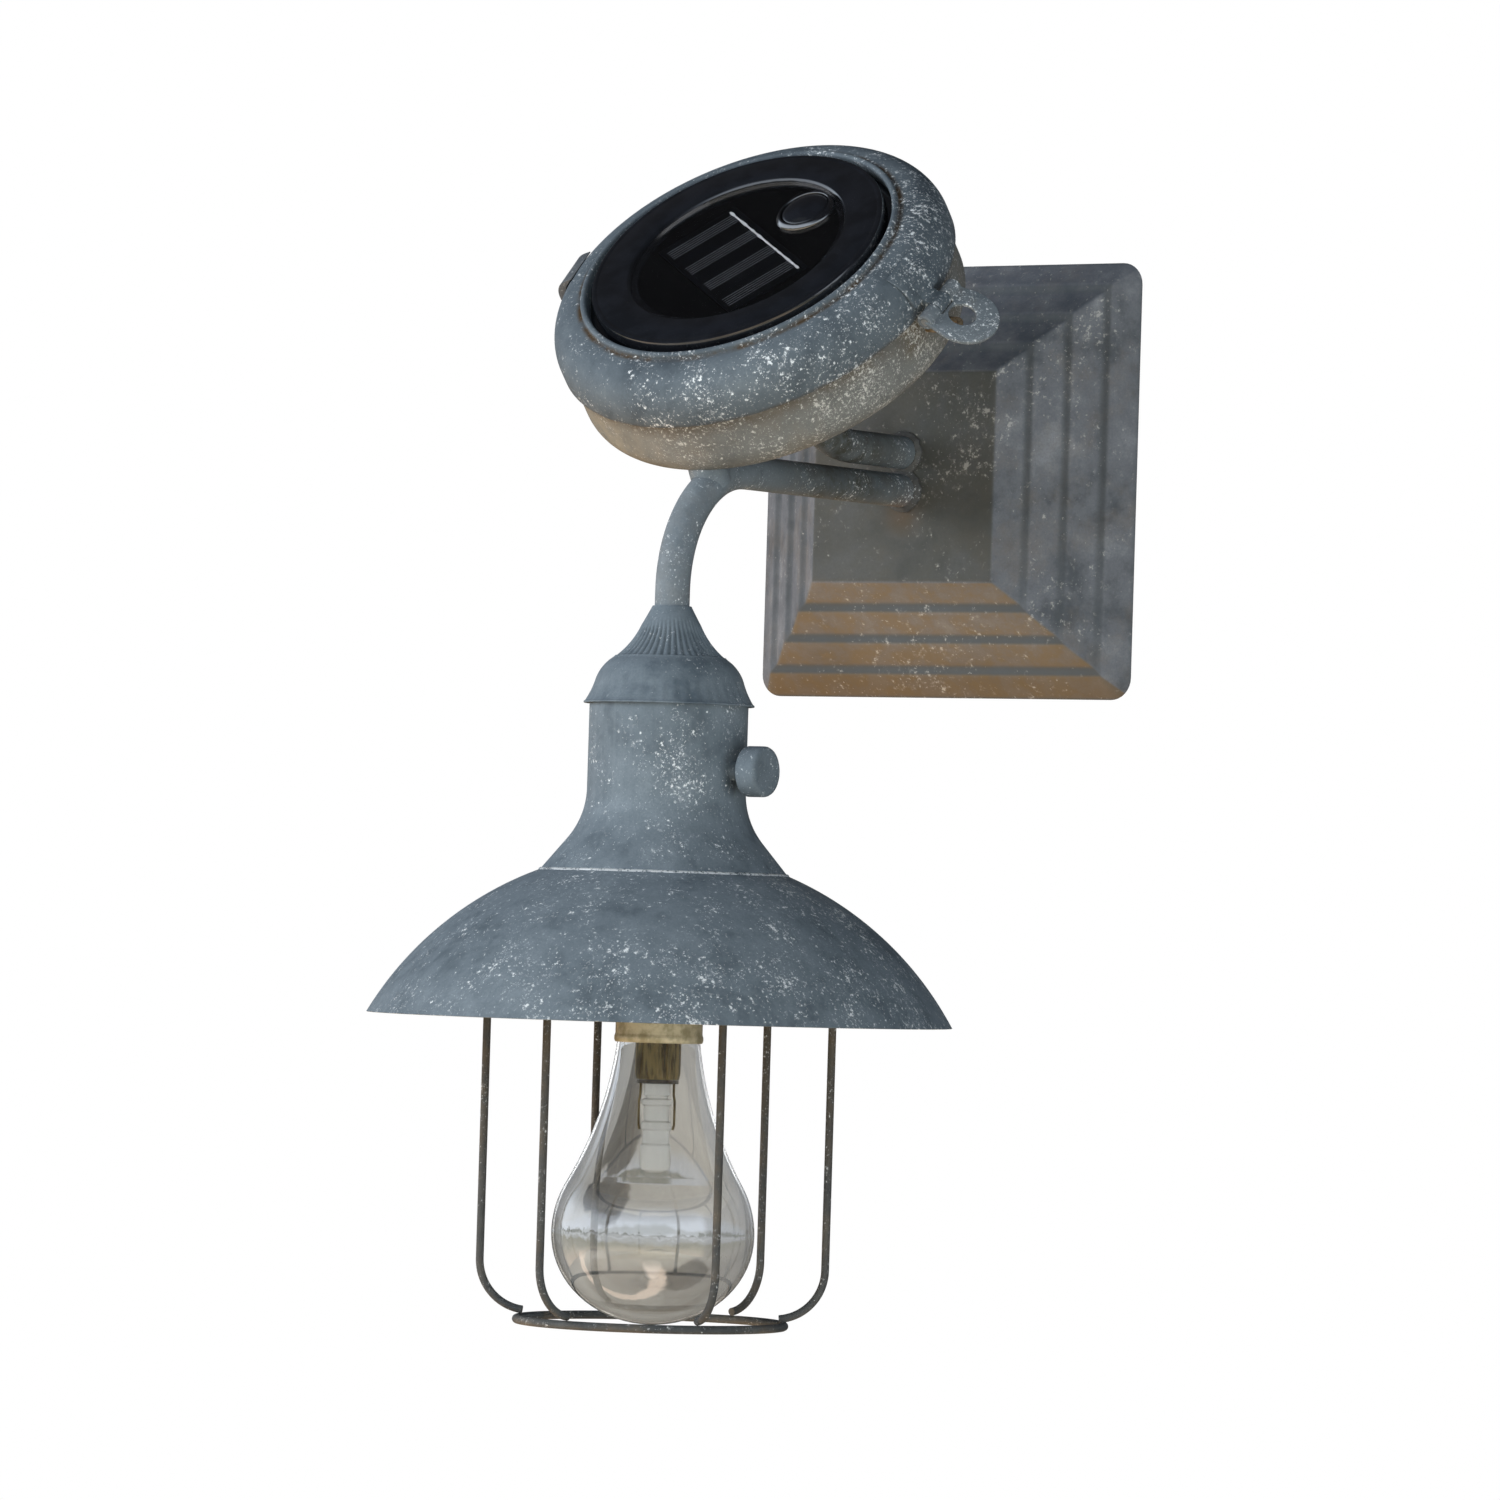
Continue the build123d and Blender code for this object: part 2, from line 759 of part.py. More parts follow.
with BuildPart() as battery:
    with BuildSketch(Plane(origin=head_top, x_dir=upslope, z_dir=across)):
        with Locations((-battery_back, -module_depth + battery_gap + battery_r)):
            Circle(battery_r)
    extrude(amount=battery_length / 2, both=True)

with BuildPart() as battery_contacts:
    contact_x = battery_length / 2 + battery_gap + contact_t / 2
    with BuildSketch(head.offset(-base_floor)):
        with Locations((-contact_x, -battery_back), (contact_x, -battery_back)):
            Rectangle(contact_t, contact_side)
    extrude(amount=contact_side)

with BuildPart() as battery_door:
    with BuildSketch(head.offset(-module_depth)):
        with Locations(bay_middle):
            Rectangle(2 * (screw_x + screw_head_r + sheet), bay_open[1] + 2 * door_lap)
        with Locations((-screw_x, -battery_back), (screw_x, -battery_back)):
            Circle(screw_r, mode=Mode.SUBTRACT)
    extrude(amount=-door_t)

with BuildPart() as door_screws:
    with BuildSketch(head.offset(-module_depth - door_t)):
        with Locations((-screw_x, -battery_back), (screw_x, -battery_back)):
            Circle(screw_head_r)
    extrude(amount=-screw_head_t)
    with BuildSketch(head.offset(-module_depth - door_t)):
        with Locations((-screw_x, -battery_back), (screw_x, -battery_back)):
            Circle(screw_r - run_gap)
    extrude(amount=door_t + base_t)

# Lead from the board through both tubes to the bulb
lead_wire = bent_tube(
    [
        head_top - outward * (board_drop + board_t + weld_gap),
        strut_corner,
        (0, -lead_turn_y, strut_z),
        (0, -lead_turn_y, arm_z),
        (0, -lamp_reach, arm_z),
        (0, -lamp_reach, base_top + side_gap),
    ],
    [strut_bend, lead_turn_r, lead_turn_r, arm_bend],
    lead_d / 2,
)


# Lamp head: fluted cap, neck, dome
def cap_solid(shift):
    with BuildPart() as solid:
        with BuildSketch(lamp_section):
            top = cap_top - shift
            collar = (tube_r + cap_collar - shift, top)
            waist = (cap_waist_r - shift, top - cap_waist)
            flute = (cap_flute_r - shift, top - cap_flute)
            step = (cap_flute_r + cap_step - shift, top - cap_flute)
            dome = (cap_dome_r - shift, top - cap_dome)
            lip = (cap_lip_r - shift, top - cap_height + cap_lip)
            foot = (cap_lip_r - shift, top - cap_height)
            with BuildLine():
                Line((0, top), collar)
                Line(collar, waist)
                SagittaArc(waist, flute, -cap_bow)
                Line(flute, step)
                SagittaArc(step, dome, 2 * cap_bow)
                Polyline(dome, lip, foot, (0, top - cap_height), (0, top))
            make_face()
        revolve(axis=lamp_axis)
    return solid


with BuildPart() as crown_cap:
    add(cap_solid(0).part)
    add(cap_solid(cap_sheet).part, mode=Mode.SUBTRACT)
    with BuildSketch(lamp_level(cap_top)):
        Circle(tube_r + weld_gap)
    extrude(amount=-cap_height, mode=Mode.SUBTRACT)


def neck_solid(inset, bottom):
    radius = neck_r - inset
    corner = neck_corner - inset
    top = neck_top - inset
    swing = flare_r + inset
    turn_end = (neck_r + flare_r - swing * cos(radians(flare_angle)), flare_z - swing * sin(radians(flare_angle)))
    cone_r = turn_end[0] + (turn_end[1] - bottom) * sin(radians(flare_angle)) / cos(radians(flare_angle))
    with BuildPart() as solid:
        with BuildSketch(lamp_section):
            with BuildLine():
                Line((0, top), (radius - corner, top))
                JernArc((radius - corner, top), (1, 0), corner, -90)
                Line((radius, top - corner), (radius, flare_z))
                CenterArc((neck_r + flare_r, flare_z), swing, 180, flare_angle)
                Polyline(turn_end, (cone_r, bottom), (0, bottom), (0, top))
            make_face()
        revolve(axis=lamp_axis)
    return solid


with BuildPart() as lamp_neck:
    add(neck_solid(0, seam_z).part)
    add(neck_solid(sheet, seam_z - sheet).part, mode=Mode.SUBTRACT)
    with BuildSketch(lamp_level(neck_top)):
        Circle(tube_r + weld_gap)
    extrude(amount=-neck_corner, mode=Mode.SUBTRACT)
    with BuildSketch(knob_plane):
        Circle(shaft_r + shaft_gap)
    extrude(amount=2 * neck_r, mode=Mode.SUBTRACT)

with BuildPart() as shade:
    hole_angle = degrees(atan2(seam_z - dome_z, seam_r + weld_gap))
    rim_angle = degrees(atan2(rim_z - dome_z, shade_rim_r))
    inner_rim = degrees(asin((rim_z - dome_z) / (dome_r - sheet)))
    with BuildSketch(lamp_section):
        with BuildLine():
            outer_arc = CenterArc((0, dome_z), dome_r, rim_angle, hole_angle - rim_angle)
            inner_arc = CenterArc((0, dome_z), dome_r - sheet, inner_rim, hole_angle - inner_rim)
            Line(outer_arc @ 0, inner_arc @ 0)
            Line(outer_arc @ 1, inner_arc @ 1)
        make_face()
    revolve(axis=lamp_axis)

with BuildPart() as lock_nut:
    nut_top = neck_top - sheet
    with BuildSketch(lamp_level(nut_top)):
        RegularPolygon(nut_flat / 2, 6, major_radius=False)
        Circle(tube_r + weld_gap, mode=Mode.SUBTRACT)
    extrude(amount=-nut_t)

pipe_r = tube_bore - weld_gap
pipe_end = socket_top - socket_floor / 2
stem_pipe = tube_ring(lamp_level(0), pipe_end, arm_end_z + pipe_lap, pipe_r, pipe_r - pipe_wall)

with BuildPart() as lamp_socket:
    with BuildSketch(lamp_level(socket_bottom)):
        Circle(socket_r)
    extrude(amount=socket_length)
    fillet(lamp_socket.edges().group_by(Axis.Z)[-1], socket_floor / 2)
    with BuildSketch(lamp_level(socket_bottom)):
        Circle(base_r + weld_gap)
    extrude(amount=socket_length - socket_floor, mode=Mode.SUBTRACT)
    with BuildSketch(lamp_level(socket_top)):
        Circle(pipe_r + weld_gap)
    extrude(amount=-socket_floor, mode=Mode.SUBTRACT)

# Switch behind the knob
body_end = neck_r - sheet - bush_gap - switch_lap
with BuildPart() as switch_body:
    with BuildSketch(knob_plane.offset(body_end)):
        Rectangle(switch_body_w, switch_body_w)
    extrude(amount=-switch_body_l)
switch_bush = tube_ring(knob_plane, body_end, body_end + switch_lap, bush_r, shaft_r + run_gap)
knob_in = neck_r + knob_out
knob_shaft = tube_ring(knob_plane, body_end + run_gap, knob_in + knob_grip, shaft_r, 0)

with BuildPart() as knob:
    with BuildSketch(knob_plane.offset(knob_in)):
        Circle(knob_r)
    extrude(amount=knob_w)
    fillet(knob.faces().sort_by(Axis.X)[-1].edges(), knob_edge)
    with BuildSketch(knob_plane.offset(knob_in)):
        Circle(shaft_r + weld_gap)
    extrude(amount=knob_grip + weld_gap, mode=Mode.SUBTRACT)

# Bulb: metal base, glass, and the light guide on its stem
with BuildPart() as bulb_base:
    with BuildSketch(lamp_level(base_bottom)):
        Circle(base_r)
    extrude(amount=base_length)
    with BuildSketch(lamp_level(base_bottom)):
        Circle(base_r - base_wall)
    extrude(amount=base_length - base_wall, mode=Mode.SUBTRACT)


def glass_solid(inset):
    centre_z = base_bottom - glass_centre
    radius = glass_r - inset
    shoulder = (radius * cos(radians(glass_turn)), centre_z + radius * sin(radians(glass_turn)))
    mouth = (glass_neck_r - inset, base_bottom + glass_seat)
    neck = (glass_neck_r - inset, base_bottom)
    waist = (glass_waist[0] - inset, base_bottom - glass_waist[1])
    with BuildPart() as solid:
        with BuildSketch(lamp_section):
            with BuildLine():
                Polyline((0, base_bottom + glass_seat), mouth, neck)
                ThreePointArc(neck, waist, shoulder)
                CenterArc((0, centre_z), radius, 0, glass_turn)
                EllipticalCenterArc((0, centre_z), radius, glass_bottom - inset, start_angle=270, arc_size=90)
                Line((0, centre_z - glass_bottom + inset), (0, base_bottom + glass_seat))
            make_face()
        revolve(axis=lamp_axis)
    return solid


with BuildPart() as bulb_glass:
    add(glass_solid(0).part)
    add(glass_solid(glass_t).part, mode=Mode.SUBTRACT)

stem_end_z = base_bottom - led_stem_below
led_stem = tube_ring(lamp_level(0), stem_end_z, base_top - base_wall, led_stem_r, led_stem_r - base_wall)
led_board = tube_ring(lamp_level(0), stem_end_z - led_board_t, stem_end_z, led_stem_r - base_wall / 2, 0)
guide_top = stem_end_z - led_board_t
light_guide = tube_ring(lamp_level(0), guide_top - guide_length, guide_top, guide_r, 0)

# Guard cage: bent wires welded under the dome, lying on a ring
wire_r = cage_wire / 2
hoop_r = ring_wire / 2
bend_r = cage_r - cage_bend
touch = cage_bend + wire_r + hoop_r + weld_gap
bend_z = ring_z + sqrt(touch**2 - (ring_r - bend_r) ** 2)
wire_top = dome_z + sqrt((dome_r - sheet) ** 2 - (cage_r + wire_r) ** 2) - weld_gap


def cage_piece(angle):
    way = Vector(sin(radians(angle)), -cos(radians(angle)), 0)
    side = Plane(origin=(0, -lamp_reach, 0), x_dir=way, z_dir=way.cross(Vector(0, 0, 1)))
    with BuildPart() as piece:
        with BuildLine(side):
            Line((cage_r, wire_top), (cage_r, bend_z))
            CenterArc((bend_r, bend_z), cage_bend, 0, -cage_bend_angle)
        with BuildSketch(Plane(origin=side.from_local_coords(Vector(cage_r, wire_top)), z_dir=(0, 0, -1))):
            Circle(wire_r)
        sweep()
    return piece


cage_wires = [cage_piece(cage_turn + 360 / cage_count * number) for number in range(cage_count)]

with BuildPart() as cage_ring:
    with BuildSketch(lamp_section):
        with Locations((ring_r, ring_z)):
            Circle(hoop_r)
    revolve(axis=lamp_axis)

pieces = {
    "wall_plate": wall_plate,
    "hanger_strap": hanger_strap,
    "arm_tube": arm_tube,
    "solar_strut": solar_strut,
    "panel_weld": panel_weld,
    "can_weld": can_weld,
    "bend_saddle": bend_saddle,
    "solar_housing": solar_housing,
    "seat_ring": seat_ring,
    "module_gasket": module_gasket,
    "lid_ring": lid_ring,
    "hinge_strap": hinge_strap,
    "hinge_bracket": hinge_bracket,
    "hinge_pin": hinge_pin,
    "hasp_strap": hasp_strap,
    "hasp_pin": hasp_pin,
    "hasp_tab": hasp_tab,
    "hasp_staple": hasp_staple,
    "solar_frame": solar_frame,
    "solar_window": solar_window,
    "cell_carrier": cell_carrier,
    "solar_cell": solar_cell,
    "cell_lines": cell_lines,
    "button_bezel": button_bezel,
    "button": button,
    "tact_switch": tact_switch,
    "circuit_board": circuit_board,
    "board_screws": board_screws,
    "module_base": module_base,
    "battery": battery,
    "battery_contacts": battery_contacts,
    "battery_door": battery_door,
    "door_screws": door_screws,
    "lead_wire": lead_wire,
    "crown_cap": crown_cap,
    "lamp_neck": lamp_neck,
    "shade": shade,
    "lock_nut": lock_nut,
    "stem_pipe": stem_pipe,
    "lamp_socket": lamp_socket,
    "switch_body": switch_body,
    "switch_bush": switch_bush,
    "knob_shaft": knob_shaft,
    "knob": knob,
    "bulb_base": bulb_base,
    "bulb_glass": bulb_glass,
    "led_stem": led_stem,
    "led_board": led_board,
    "light_guide": light_guide,
    "cage_ring": cage_ring,
}
for number, wire in enumerate(cage_wires, start=1):
    pieces[f"cage_wire_{number}"] = wire

os.makedirs("parts", exist_ok=True)
for name, piece in pieces.items():
    piece.part.label = name
    export_step(piece.part, f"parts/{name}.step")
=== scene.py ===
import math

import bmesh
import bpy
from mathutils import Matrix, Vector, noise


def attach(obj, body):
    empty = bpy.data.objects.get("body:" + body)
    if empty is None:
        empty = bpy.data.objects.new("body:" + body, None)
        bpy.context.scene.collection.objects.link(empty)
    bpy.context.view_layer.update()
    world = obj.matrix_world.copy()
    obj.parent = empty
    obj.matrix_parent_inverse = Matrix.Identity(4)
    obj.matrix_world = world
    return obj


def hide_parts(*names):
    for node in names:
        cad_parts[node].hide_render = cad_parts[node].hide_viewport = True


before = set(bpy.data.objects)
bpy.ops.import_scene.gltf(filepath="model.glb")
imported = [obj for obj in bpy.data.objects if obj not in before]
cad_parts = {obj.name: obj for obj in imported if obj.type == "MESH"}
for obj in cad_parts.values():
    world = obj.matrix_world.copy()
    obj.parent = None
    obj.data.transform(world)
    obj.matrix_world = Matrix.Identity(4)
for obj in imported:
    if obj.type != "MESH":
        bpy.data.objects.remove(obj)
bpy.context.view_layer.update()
mm = 0.001
print("frame loaded:", len(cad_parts), "nodes")


def addObject(name, data):
    made = bpy.data.objects.new(name, data)
    bpy.context.scene.collection.objects.link(made)
    return made


# camera and light

cameraLook = {
    "azimuth": 32.97,
    "elevation": -1.26,
    "distance": 2.48965,
    "aim": (0, -0.06, 0),
    "sideways": -0.02834,
    "height": -0.08792,
    "roll": 1.75,
    "focal": 8013.0,  # in pixels, like frameWide
    "frameWide": 1500.0,
    "sensor": 36.0,
}


def placeCamera(look):
    az, el = math.radians(look["azimuth"]), math.radians(look["elevation"])
    back = Vector((math.sin(az) * math.cos(el), -math.cos(az) * math.cos(el), math.sin(el)))
    right = Vector((math.cos(az), math.sin(az), 0))
    up = back.cross(right)
    aim = Vector(look["aim"]) + right * look["sideways"] + Vector((0, 0, look["height"]))
    turn = math.radians(look["roll"])
    rolledRight = right * math.cos(turn) + up * math.sin(turn)
    rolledUp = up * math.cos(turn) - right * math.sin(turn)
    data = bpy.data.cameras.new("photoCamera")
    data.sensor_width = look["sensor"]
    data.lens = look["focal"] / look["frameWide"] * look["sensor"]
    data.clip_start = 0.05
    place = Matrix((rolledRight, rolledUp, back)).transposed().to_4x4()
    place.translation = aim + back * look["distance"]
    camera = addObject("photoCamera", data)
    camera.matrix_world = place
    bpy.context.scene.camera = camera


placeCamera(cameraLook)

lightLook = {
    "key": {"at": (-1.35, -1.5, 0.5), "size": 1.5, "power": 53.0, "colour": (0.91, 0.95, 1.0)},
    "front": {"at": (1.1, -1.7, 0.85), "size": 1.2, "power": 12.0, "colour": (0.78, 0.88, 1.0)},
    "low": {"at": (0.9, -1.8, -0.7), "size": 1.2, "power": 15.0, "colour": (1.0, 0.94, 0.78)},
    "right": {"at": (1.65, -0.85, -0.45), "size": 1.2, "power": 14.5, "colour": (0.86, 0.94, 1.0)},
    "ground": {"at": (-0.3, -0.12, -0.58), "size": 0.9, "power": 4.0, "colour": (1.0, 0.55, 0.20)},
}
lampMiddle = Vector((0, -0.12, -0.08))


def placeLights(look):
    for name, one in look.items():
        data = bpy.data.lights.new(name + "Light", "AREA")
        data.shape = "DISK"
        data.size = one["size"]
        data.energy = one["power"]
        data.color = one["colour"]
        light = addObject(name + "Light", data)
        light.location = one["at"]
        light.visible_glossy = False
        light.visible_transmission = False
        aim = lampMiddle - Vector(one["at"])
        light.rotation_euler = aim.to_track_quat("-Z", "Y").to_euler()


placeLights(lightLook)


# node helpers

def feed(tree, socket, value):
    # sets a socket to a number or a colour, or links it
    if isinstance(value, (int, float)):
        socket.default_value = value
    elif isinstance(value, tuple):
        socket.default_value = (*value, 1)
    else:
        tree.links.new(value, socket)


def addNode(tree, kind, links=None, values=None, settings=None):
    node = tree.nodes.new(kind)
    for key, value in (settings or {}).items():
        setattr(node, key, value)
    for key, value in (values or {}).items():
        node.inputs[key].default_value = value
    for key, source in (links or {}).items():
        tree.links.new(source, node.inputs[key])
    return node


def addNoise(tree, coord, scale, detail=3.0, rough=0.55, distortion=0.0):
    values = {"Scale": scale, "Detail": detail, "Roughness": rough, "Distortion": distortion}
    return addNode(tree, "ShaderNodeTexNoise", {"Vector": coord}, values).outputs["Fac"]


def addRange(tree, source, low, high, toLow=0.0, toHigh=1.0):
    values = {"From Min": low, "From Max": high, "To Min": toLow, "To Max": toHigh}
    smooth = {"interpolation_type": "SMOOTHSTEP"}
    return addNode(tree, "ShaderNodeMapRange", {"Value": source}, values, smooth).outputs["Result"]


def addMath(tree, operation, first, second=0.0):
    node = addNode(tree, "ShaderNodeMath", settings={"operation": operation})
    feed(tree, node.inputs[0], first)
    feed(tree, node.inputs[1], second)
    return node.outputs[0]


def times(tree, first, second):
    return addMath(tree, "MULTIPLY", first, second)


def plus(tree, first, second):
    return addMath(tree, "ADD", first, second)


def minus(tree, first, second):
    return addMath(tree, "SUBTRACT", first, second)


def axisOf(tree, coord, axis):
    return addNode(tree, "ShaderNodeSeparateXYZ", {0: coord}).outputs[axis]


def addVectorMath(tree, operation, coord, other, output="Value"):
    settings = {"operation": operation}
    return addNode(tree, "ShaderNodeVectorMath", {0: coord}, {1: other}, settings).outputs[output]


def addMix(tree, factor, first, second):
    node = addNode(tree, "ShaderNodeMix", settings={"data_type": "RGBA", "blend_type": "MIX"})
    for index, value in ((0, factor), (6, first), (7, second)):
        feed(tree, node.inputs[index], value)
    return node.outputs[2]


# sky and backdrop go by height, -1 straight down to 1 straight up, eased at both ends of their span
skyLook = {
    "strength": 0.22,
    "mirrored": 2.5,  # how bright reflections see it
    "insideGlass": (1.9, 2.0, 2.1),  # light that reaches what stands behind glass
    "paper": (1.0, 1.0, 1.0),  # what the camera sees around the lamp
    "wall": (0.012, 0.012, 0.013),  # what stands behind the lamp
    "wallFrom": (0.0, 0.22),  # direction along Y where reflections meet it
    "treeLine": 0.2,
    "horizon": (0.12, 0.35),
    "leafScale": 7.0,
    "skySpan": (-1.0, 1.0),
    "sky": (
        (-0.80, (0.66, 0.50, 0.38)), (-0.45, (0.42, 0.35, 0.26)), (-0.30, (0.16, 0.155, 0.11)),
        (-0.13, (0.12, 0.12, 0.09)), (-0.10, (0.34, 0.36, 0.37)), (-0.06, (0.38, 0.40, 0.42)),
        (-0.03, (0.08, 0.09, 0.08)), (0.03, (0.08, 0.09, 0.08)), (0.06, (0.62, 0.67, 0.74)),
        (0.35, (0.56, 0.63, 0.72)), (0.55, (0.16, 0.19, 0.23)), (0.70, (0.013, 0.015, 0.019)),
    ),
    "backdropSpan": (-0.09, 0.03),
    "backdropEnd": (0.45, 0.65),  # above this it is as dark as the wall
    "backdrop": (  # seen through glass
        (-0.0900, (0.30, 0.285, 0.26)), (-0.0734, (0.25, 0.23, 0.21)), (-0.0600, (0.38, 0.355, 0.315)),
        (-0.0490, (0.31, 0.30, 0.245)), (-0.0470, (0.48, 0.49, 0.51)), (-0.0440, (0.48, 0.49, 0.51)),
        (-0.0425, (0.19, 0.20, 0.18)), (-0.0403, (0.24, 0.25, 0.23)), (-0.0391, (0.54, 0.57, 0.62)),
        (-0.0340, (0.50, 0.51, 0.53)), (-0.0300, (0.47, 0.45, 0.415)), (0.0, (0.45, 0.445, 0.435)),
        (0.03, (0.48, 0.48, 0.48)),
    ),
    "raggedScale": 170.0,
    "ragged": 0.003,
    "patchEdge": 0.001,
    "patches": (  # seen through glass: direction, reach, colour
        ((-0.574, 0.8185, -0.017), 0.0125, (0.05, 0.048, 0.048)),
        ((-0.567, 0.8232, -0.028), 0.0085, (0.05, 0.048, 0.048)),
        ((-0.540, 0.8395, -0.060), 0.0100, (0.06, 0.058, 0.058)),
    ),
    "crescent": {
        "way": (-0.566, 0.822, -0.062),
        "reach": 0.0225,
        "hole": (-0.566, 0.822, -0.061),
        "holeReach": 0.0163,
        "below": (-0.056, -0.048),
        "colour": (0.95, 0.76, 0.62),
    },
    "groves": (  # seen in reflections: direction, reach, colour
        ((-0.37, -0.73, 0.59), 0.34, (0.05, 0.054, 0.058)),
        ((-0.32, -0.32, -0.89), 0.26, (1.15, 0.90, 0.70)),
        ((0.45, -0.60, -0.66), 0.34, (0.10, 0.10, 0.10)),
    ),
    "groveEdge": 0.05,
    "groveLeaves": 0.3,
    "cover": 0.9,  # how far patches, groves and wall hide what is behind them
}


def paintSky(look):
    world = bpy.data.worlds.new("studioSky")
    world.use_nodes = True
    tree = world.node_tree
    tree.nodes.clear()
    coord = addNode(tree, "ShaderNodeTexCoord").outputs["Generated"]
    height = axisOf(tree, coord, "Z")
    leaves = minus(tree, addNoise(tree, coord, look["leafScale"], 5.0), 0.5)
    ragged = minus(tree, addNoise(tree, coord, look["raggedScale"], 4.0), 0.5)
    ragged = times(tree, ragged, 2 * look["ragged"])
    cover = look["cover"]

    def colours(stops, span, shift):
        # the colour at each height, its borders made uneven by the shift
        low, high = span
        eased = addRange(tree, plus(tree, height, shift), low, high)
        ramp = addNode(tree, "ShaderNodeValToRGB", {"Fac": eased})
        marks = ramp.color_ramp.elements
        for index, (level, colour) in enumerate(stops):
            place = (level - low) / (high - low)
            stop = marks[index] if index < 2 else marks.new(place)
            stop.position = place
            stop.color = (*colour, 1)
        return ramp.outputs["Color"]

    def disc(way, reach):
        away = plus(tree, addVectorMath(tree, "DISTANCE", coord, way), ragged)
        return addRange(tree, away, reach - look["patchEdge"], reach + look["patchEdge"], 1.0, 0.0)

    fromLevel = addMath(tree, "ABSOLUTE", height)
    nearHorizon = addRange(tree, fromLevel, *look["horizon"], 2 * look["treeLine"], 0.0)
    sky = colours(look["sky"], look["skySpan"], times(tree, leaves, nearHorizon))

    seen = sky
    for way, reach, colour in look["groves"]:
        away = addVectorMath(tree, "DISTANCE", coord, way)
        away = plus(tree, away, times(tree, leaves, look["groveLeaves"]))
        share = addRange(tree, away, reach - look["groveEdge"], reach, cover, 0.0)
        seen = addMix(tree, share, seen, colour)
    behind = addRange(tree, axisOf(tree, coord, "Y"), *look["wallFrom"], 0.0, cover)
    seen = addMix(tree, behind, seen, look["wall"])

    backdrop = colours(look["backdrop"], look["backdropSpan"], ragged)
    for way, reach, colour in look["patches"]:
        backdrop = addMix(tree, times(tree, disc(way, reach), cover), backdrop, colour)
    bow = look["crescent"]
    share = minus(tree, 1.0, disc(bow["hole"], bow["holeReach"]))
    share = times(tree, disc(bow["way"], bow["reach"]), share)
    share = times(tree, share, addRange(tree, height, *bow["below"], 1.0, 0.0))
    backdrop = addMix(tree, times(tree, share, cover), backdrop, bow["colour"])
    backdrop = addMix(tree, addRange(tree, height, *look["backdropEnd"]), backdrop, look["wall"])

    path = addNode(tree, "ShaderNodeLightPath").outputs
    afterDiffuse = addMath(tree, "MINIMUM", path["Diffuse Depth"], 1.0)
    afterDiffuse = times(tree, path["Is Transmission Ray"], afterDiffuse)
    layers = (
        (path["Is Glossy Ray"], seen, look["mirrored"]),
        (path["Is Transmission Ray"], backdrop, 1.0),
        (afterDiffuse, look["insideGlass"], 1.0),
        (path["Is Camera Ray"], look["paper"], 1.0),
    )
    base = addNode(tree, "ShaderNodeBackground", {"Color": sky}, {"Strength": look["strength"]})
    shader = base.outputs[0]
    for share, colour, strength in layers:
        layer = addNode(tree, "ShaderNodeBackground", None, {"Strength": strength})
        feed(tree, layer.inputs["Color"], colour)
        shader = addNode(tree, "ShaderNodeMixShader", {0: share, 1: shader, 2: layer.outputs[0]}).outputs[0]
    addNode(tree, "ShaderNodeOutputWorld", {"Surface": shader})
    bpy.context.scene.world = world


paintSky(skyLook)
bpy.context.scene.view_settings.view_transform = "Standard"
print("camera and light placed")


# materials, all on Object coordinates in metres

def startMaterial(name, values):
    material = bpy.data.materials.new(name)
    material.use_nodes = True
    sockets = material.node_tree.nodes["Principled BSDF"].inputs
    for socket, value in values.items():
        sockets[socket].default_value = value
    return material, material.node_tree, sockets


def objectCoord(tree, shift=(0, 0, 0), scale=(1, 1, 1), turn=(0, 0, 0)):
    coord = addNode(tree, "ShaderNodeTexCoord").outputs["Object"]
    values = {"Location": shift, "Scale": scale, "Rotation": turn}
    return addNode(tree, "ShaderNodeMapping", {"Vector": coord}, values).outputs["Vector"]


def addBump(tree, height, strength, distance):
    values = {"Strength": strength, "Distance": distance}
    return addNode(tree, "ShaderNodeBump", {"Height": height}, values).outputs["Normal"]


def nearPoint(tree, coord, point, reach):
    # 1 at the point, fading to 0 at the reach
    return addRange(tree, addVectorMath(tree, "DISTANCE", coord, point), 0.0, reach, 1.0, 0.0)


lampReach = 157.5  # from the wall to the axis of the lamp head, in mm
tilt = math.radians(42.3)
headTop = Vector((0, -0.128382, 0.063419))
headBase = Matrix.Translation(headTop) @ Matrix.Rotation(tilt, 4, "X")
headShift = tuple(Matrix.Rotation(-tilt, 3, "X") @ -headTop)


def headPoint(radius, turn, height):
    # radius and height in mm about the solar head's axis
    turn = math.radians(turn)
    return tuple(headBase @ (Vector((radius * math.cos(turn), radius * math.sin(turn), height)) * mm))


capLook = {
    "top": -47.2,
    "bore": 5.3,
    "skin": 0.75,
    "tip": ((5.3, 0.0), (5.85, 0.0), (7.0, 2.2), (8.2, 4.4)),  # radius, and drop below the top
    "crown": ((9.0, 5.8), (16.2, 15.2), -0.7),  # arcs: start, end, sag
    "step": ((16.75, 15.25), (16.85, 15.5)),
    "bell": ((16.9, 15.6), (22.3, 22.4), 0.75),
    "skirt": ((22.3, 22.4), (25.3, 29.0), -0.25),
    "lip": ((25.75, 29.3), (25.75, 29.7), (25.4, 29.8), (25.0, 29.8)),
    "insideEnd": 29.7,
    "flutes": 44,
    "fluteDeep": 0.55,
    "fluteCut": (0.75, 0.6),  # shares of the cut that go inwards and down
    "fluteFrom": 5.0,
    "fluteTo": 15.3,
    "fluteFade": (2.5, 0.6),
    "fluteLeast": 8.0,
    "lipFlutes": 44,
    "lipDeep": 0.16,
    "lipFrom": 21.0,
    "lipTo": 29.9,
    "lipFade": 4.0,
    "lipLeast": 22.0,
}

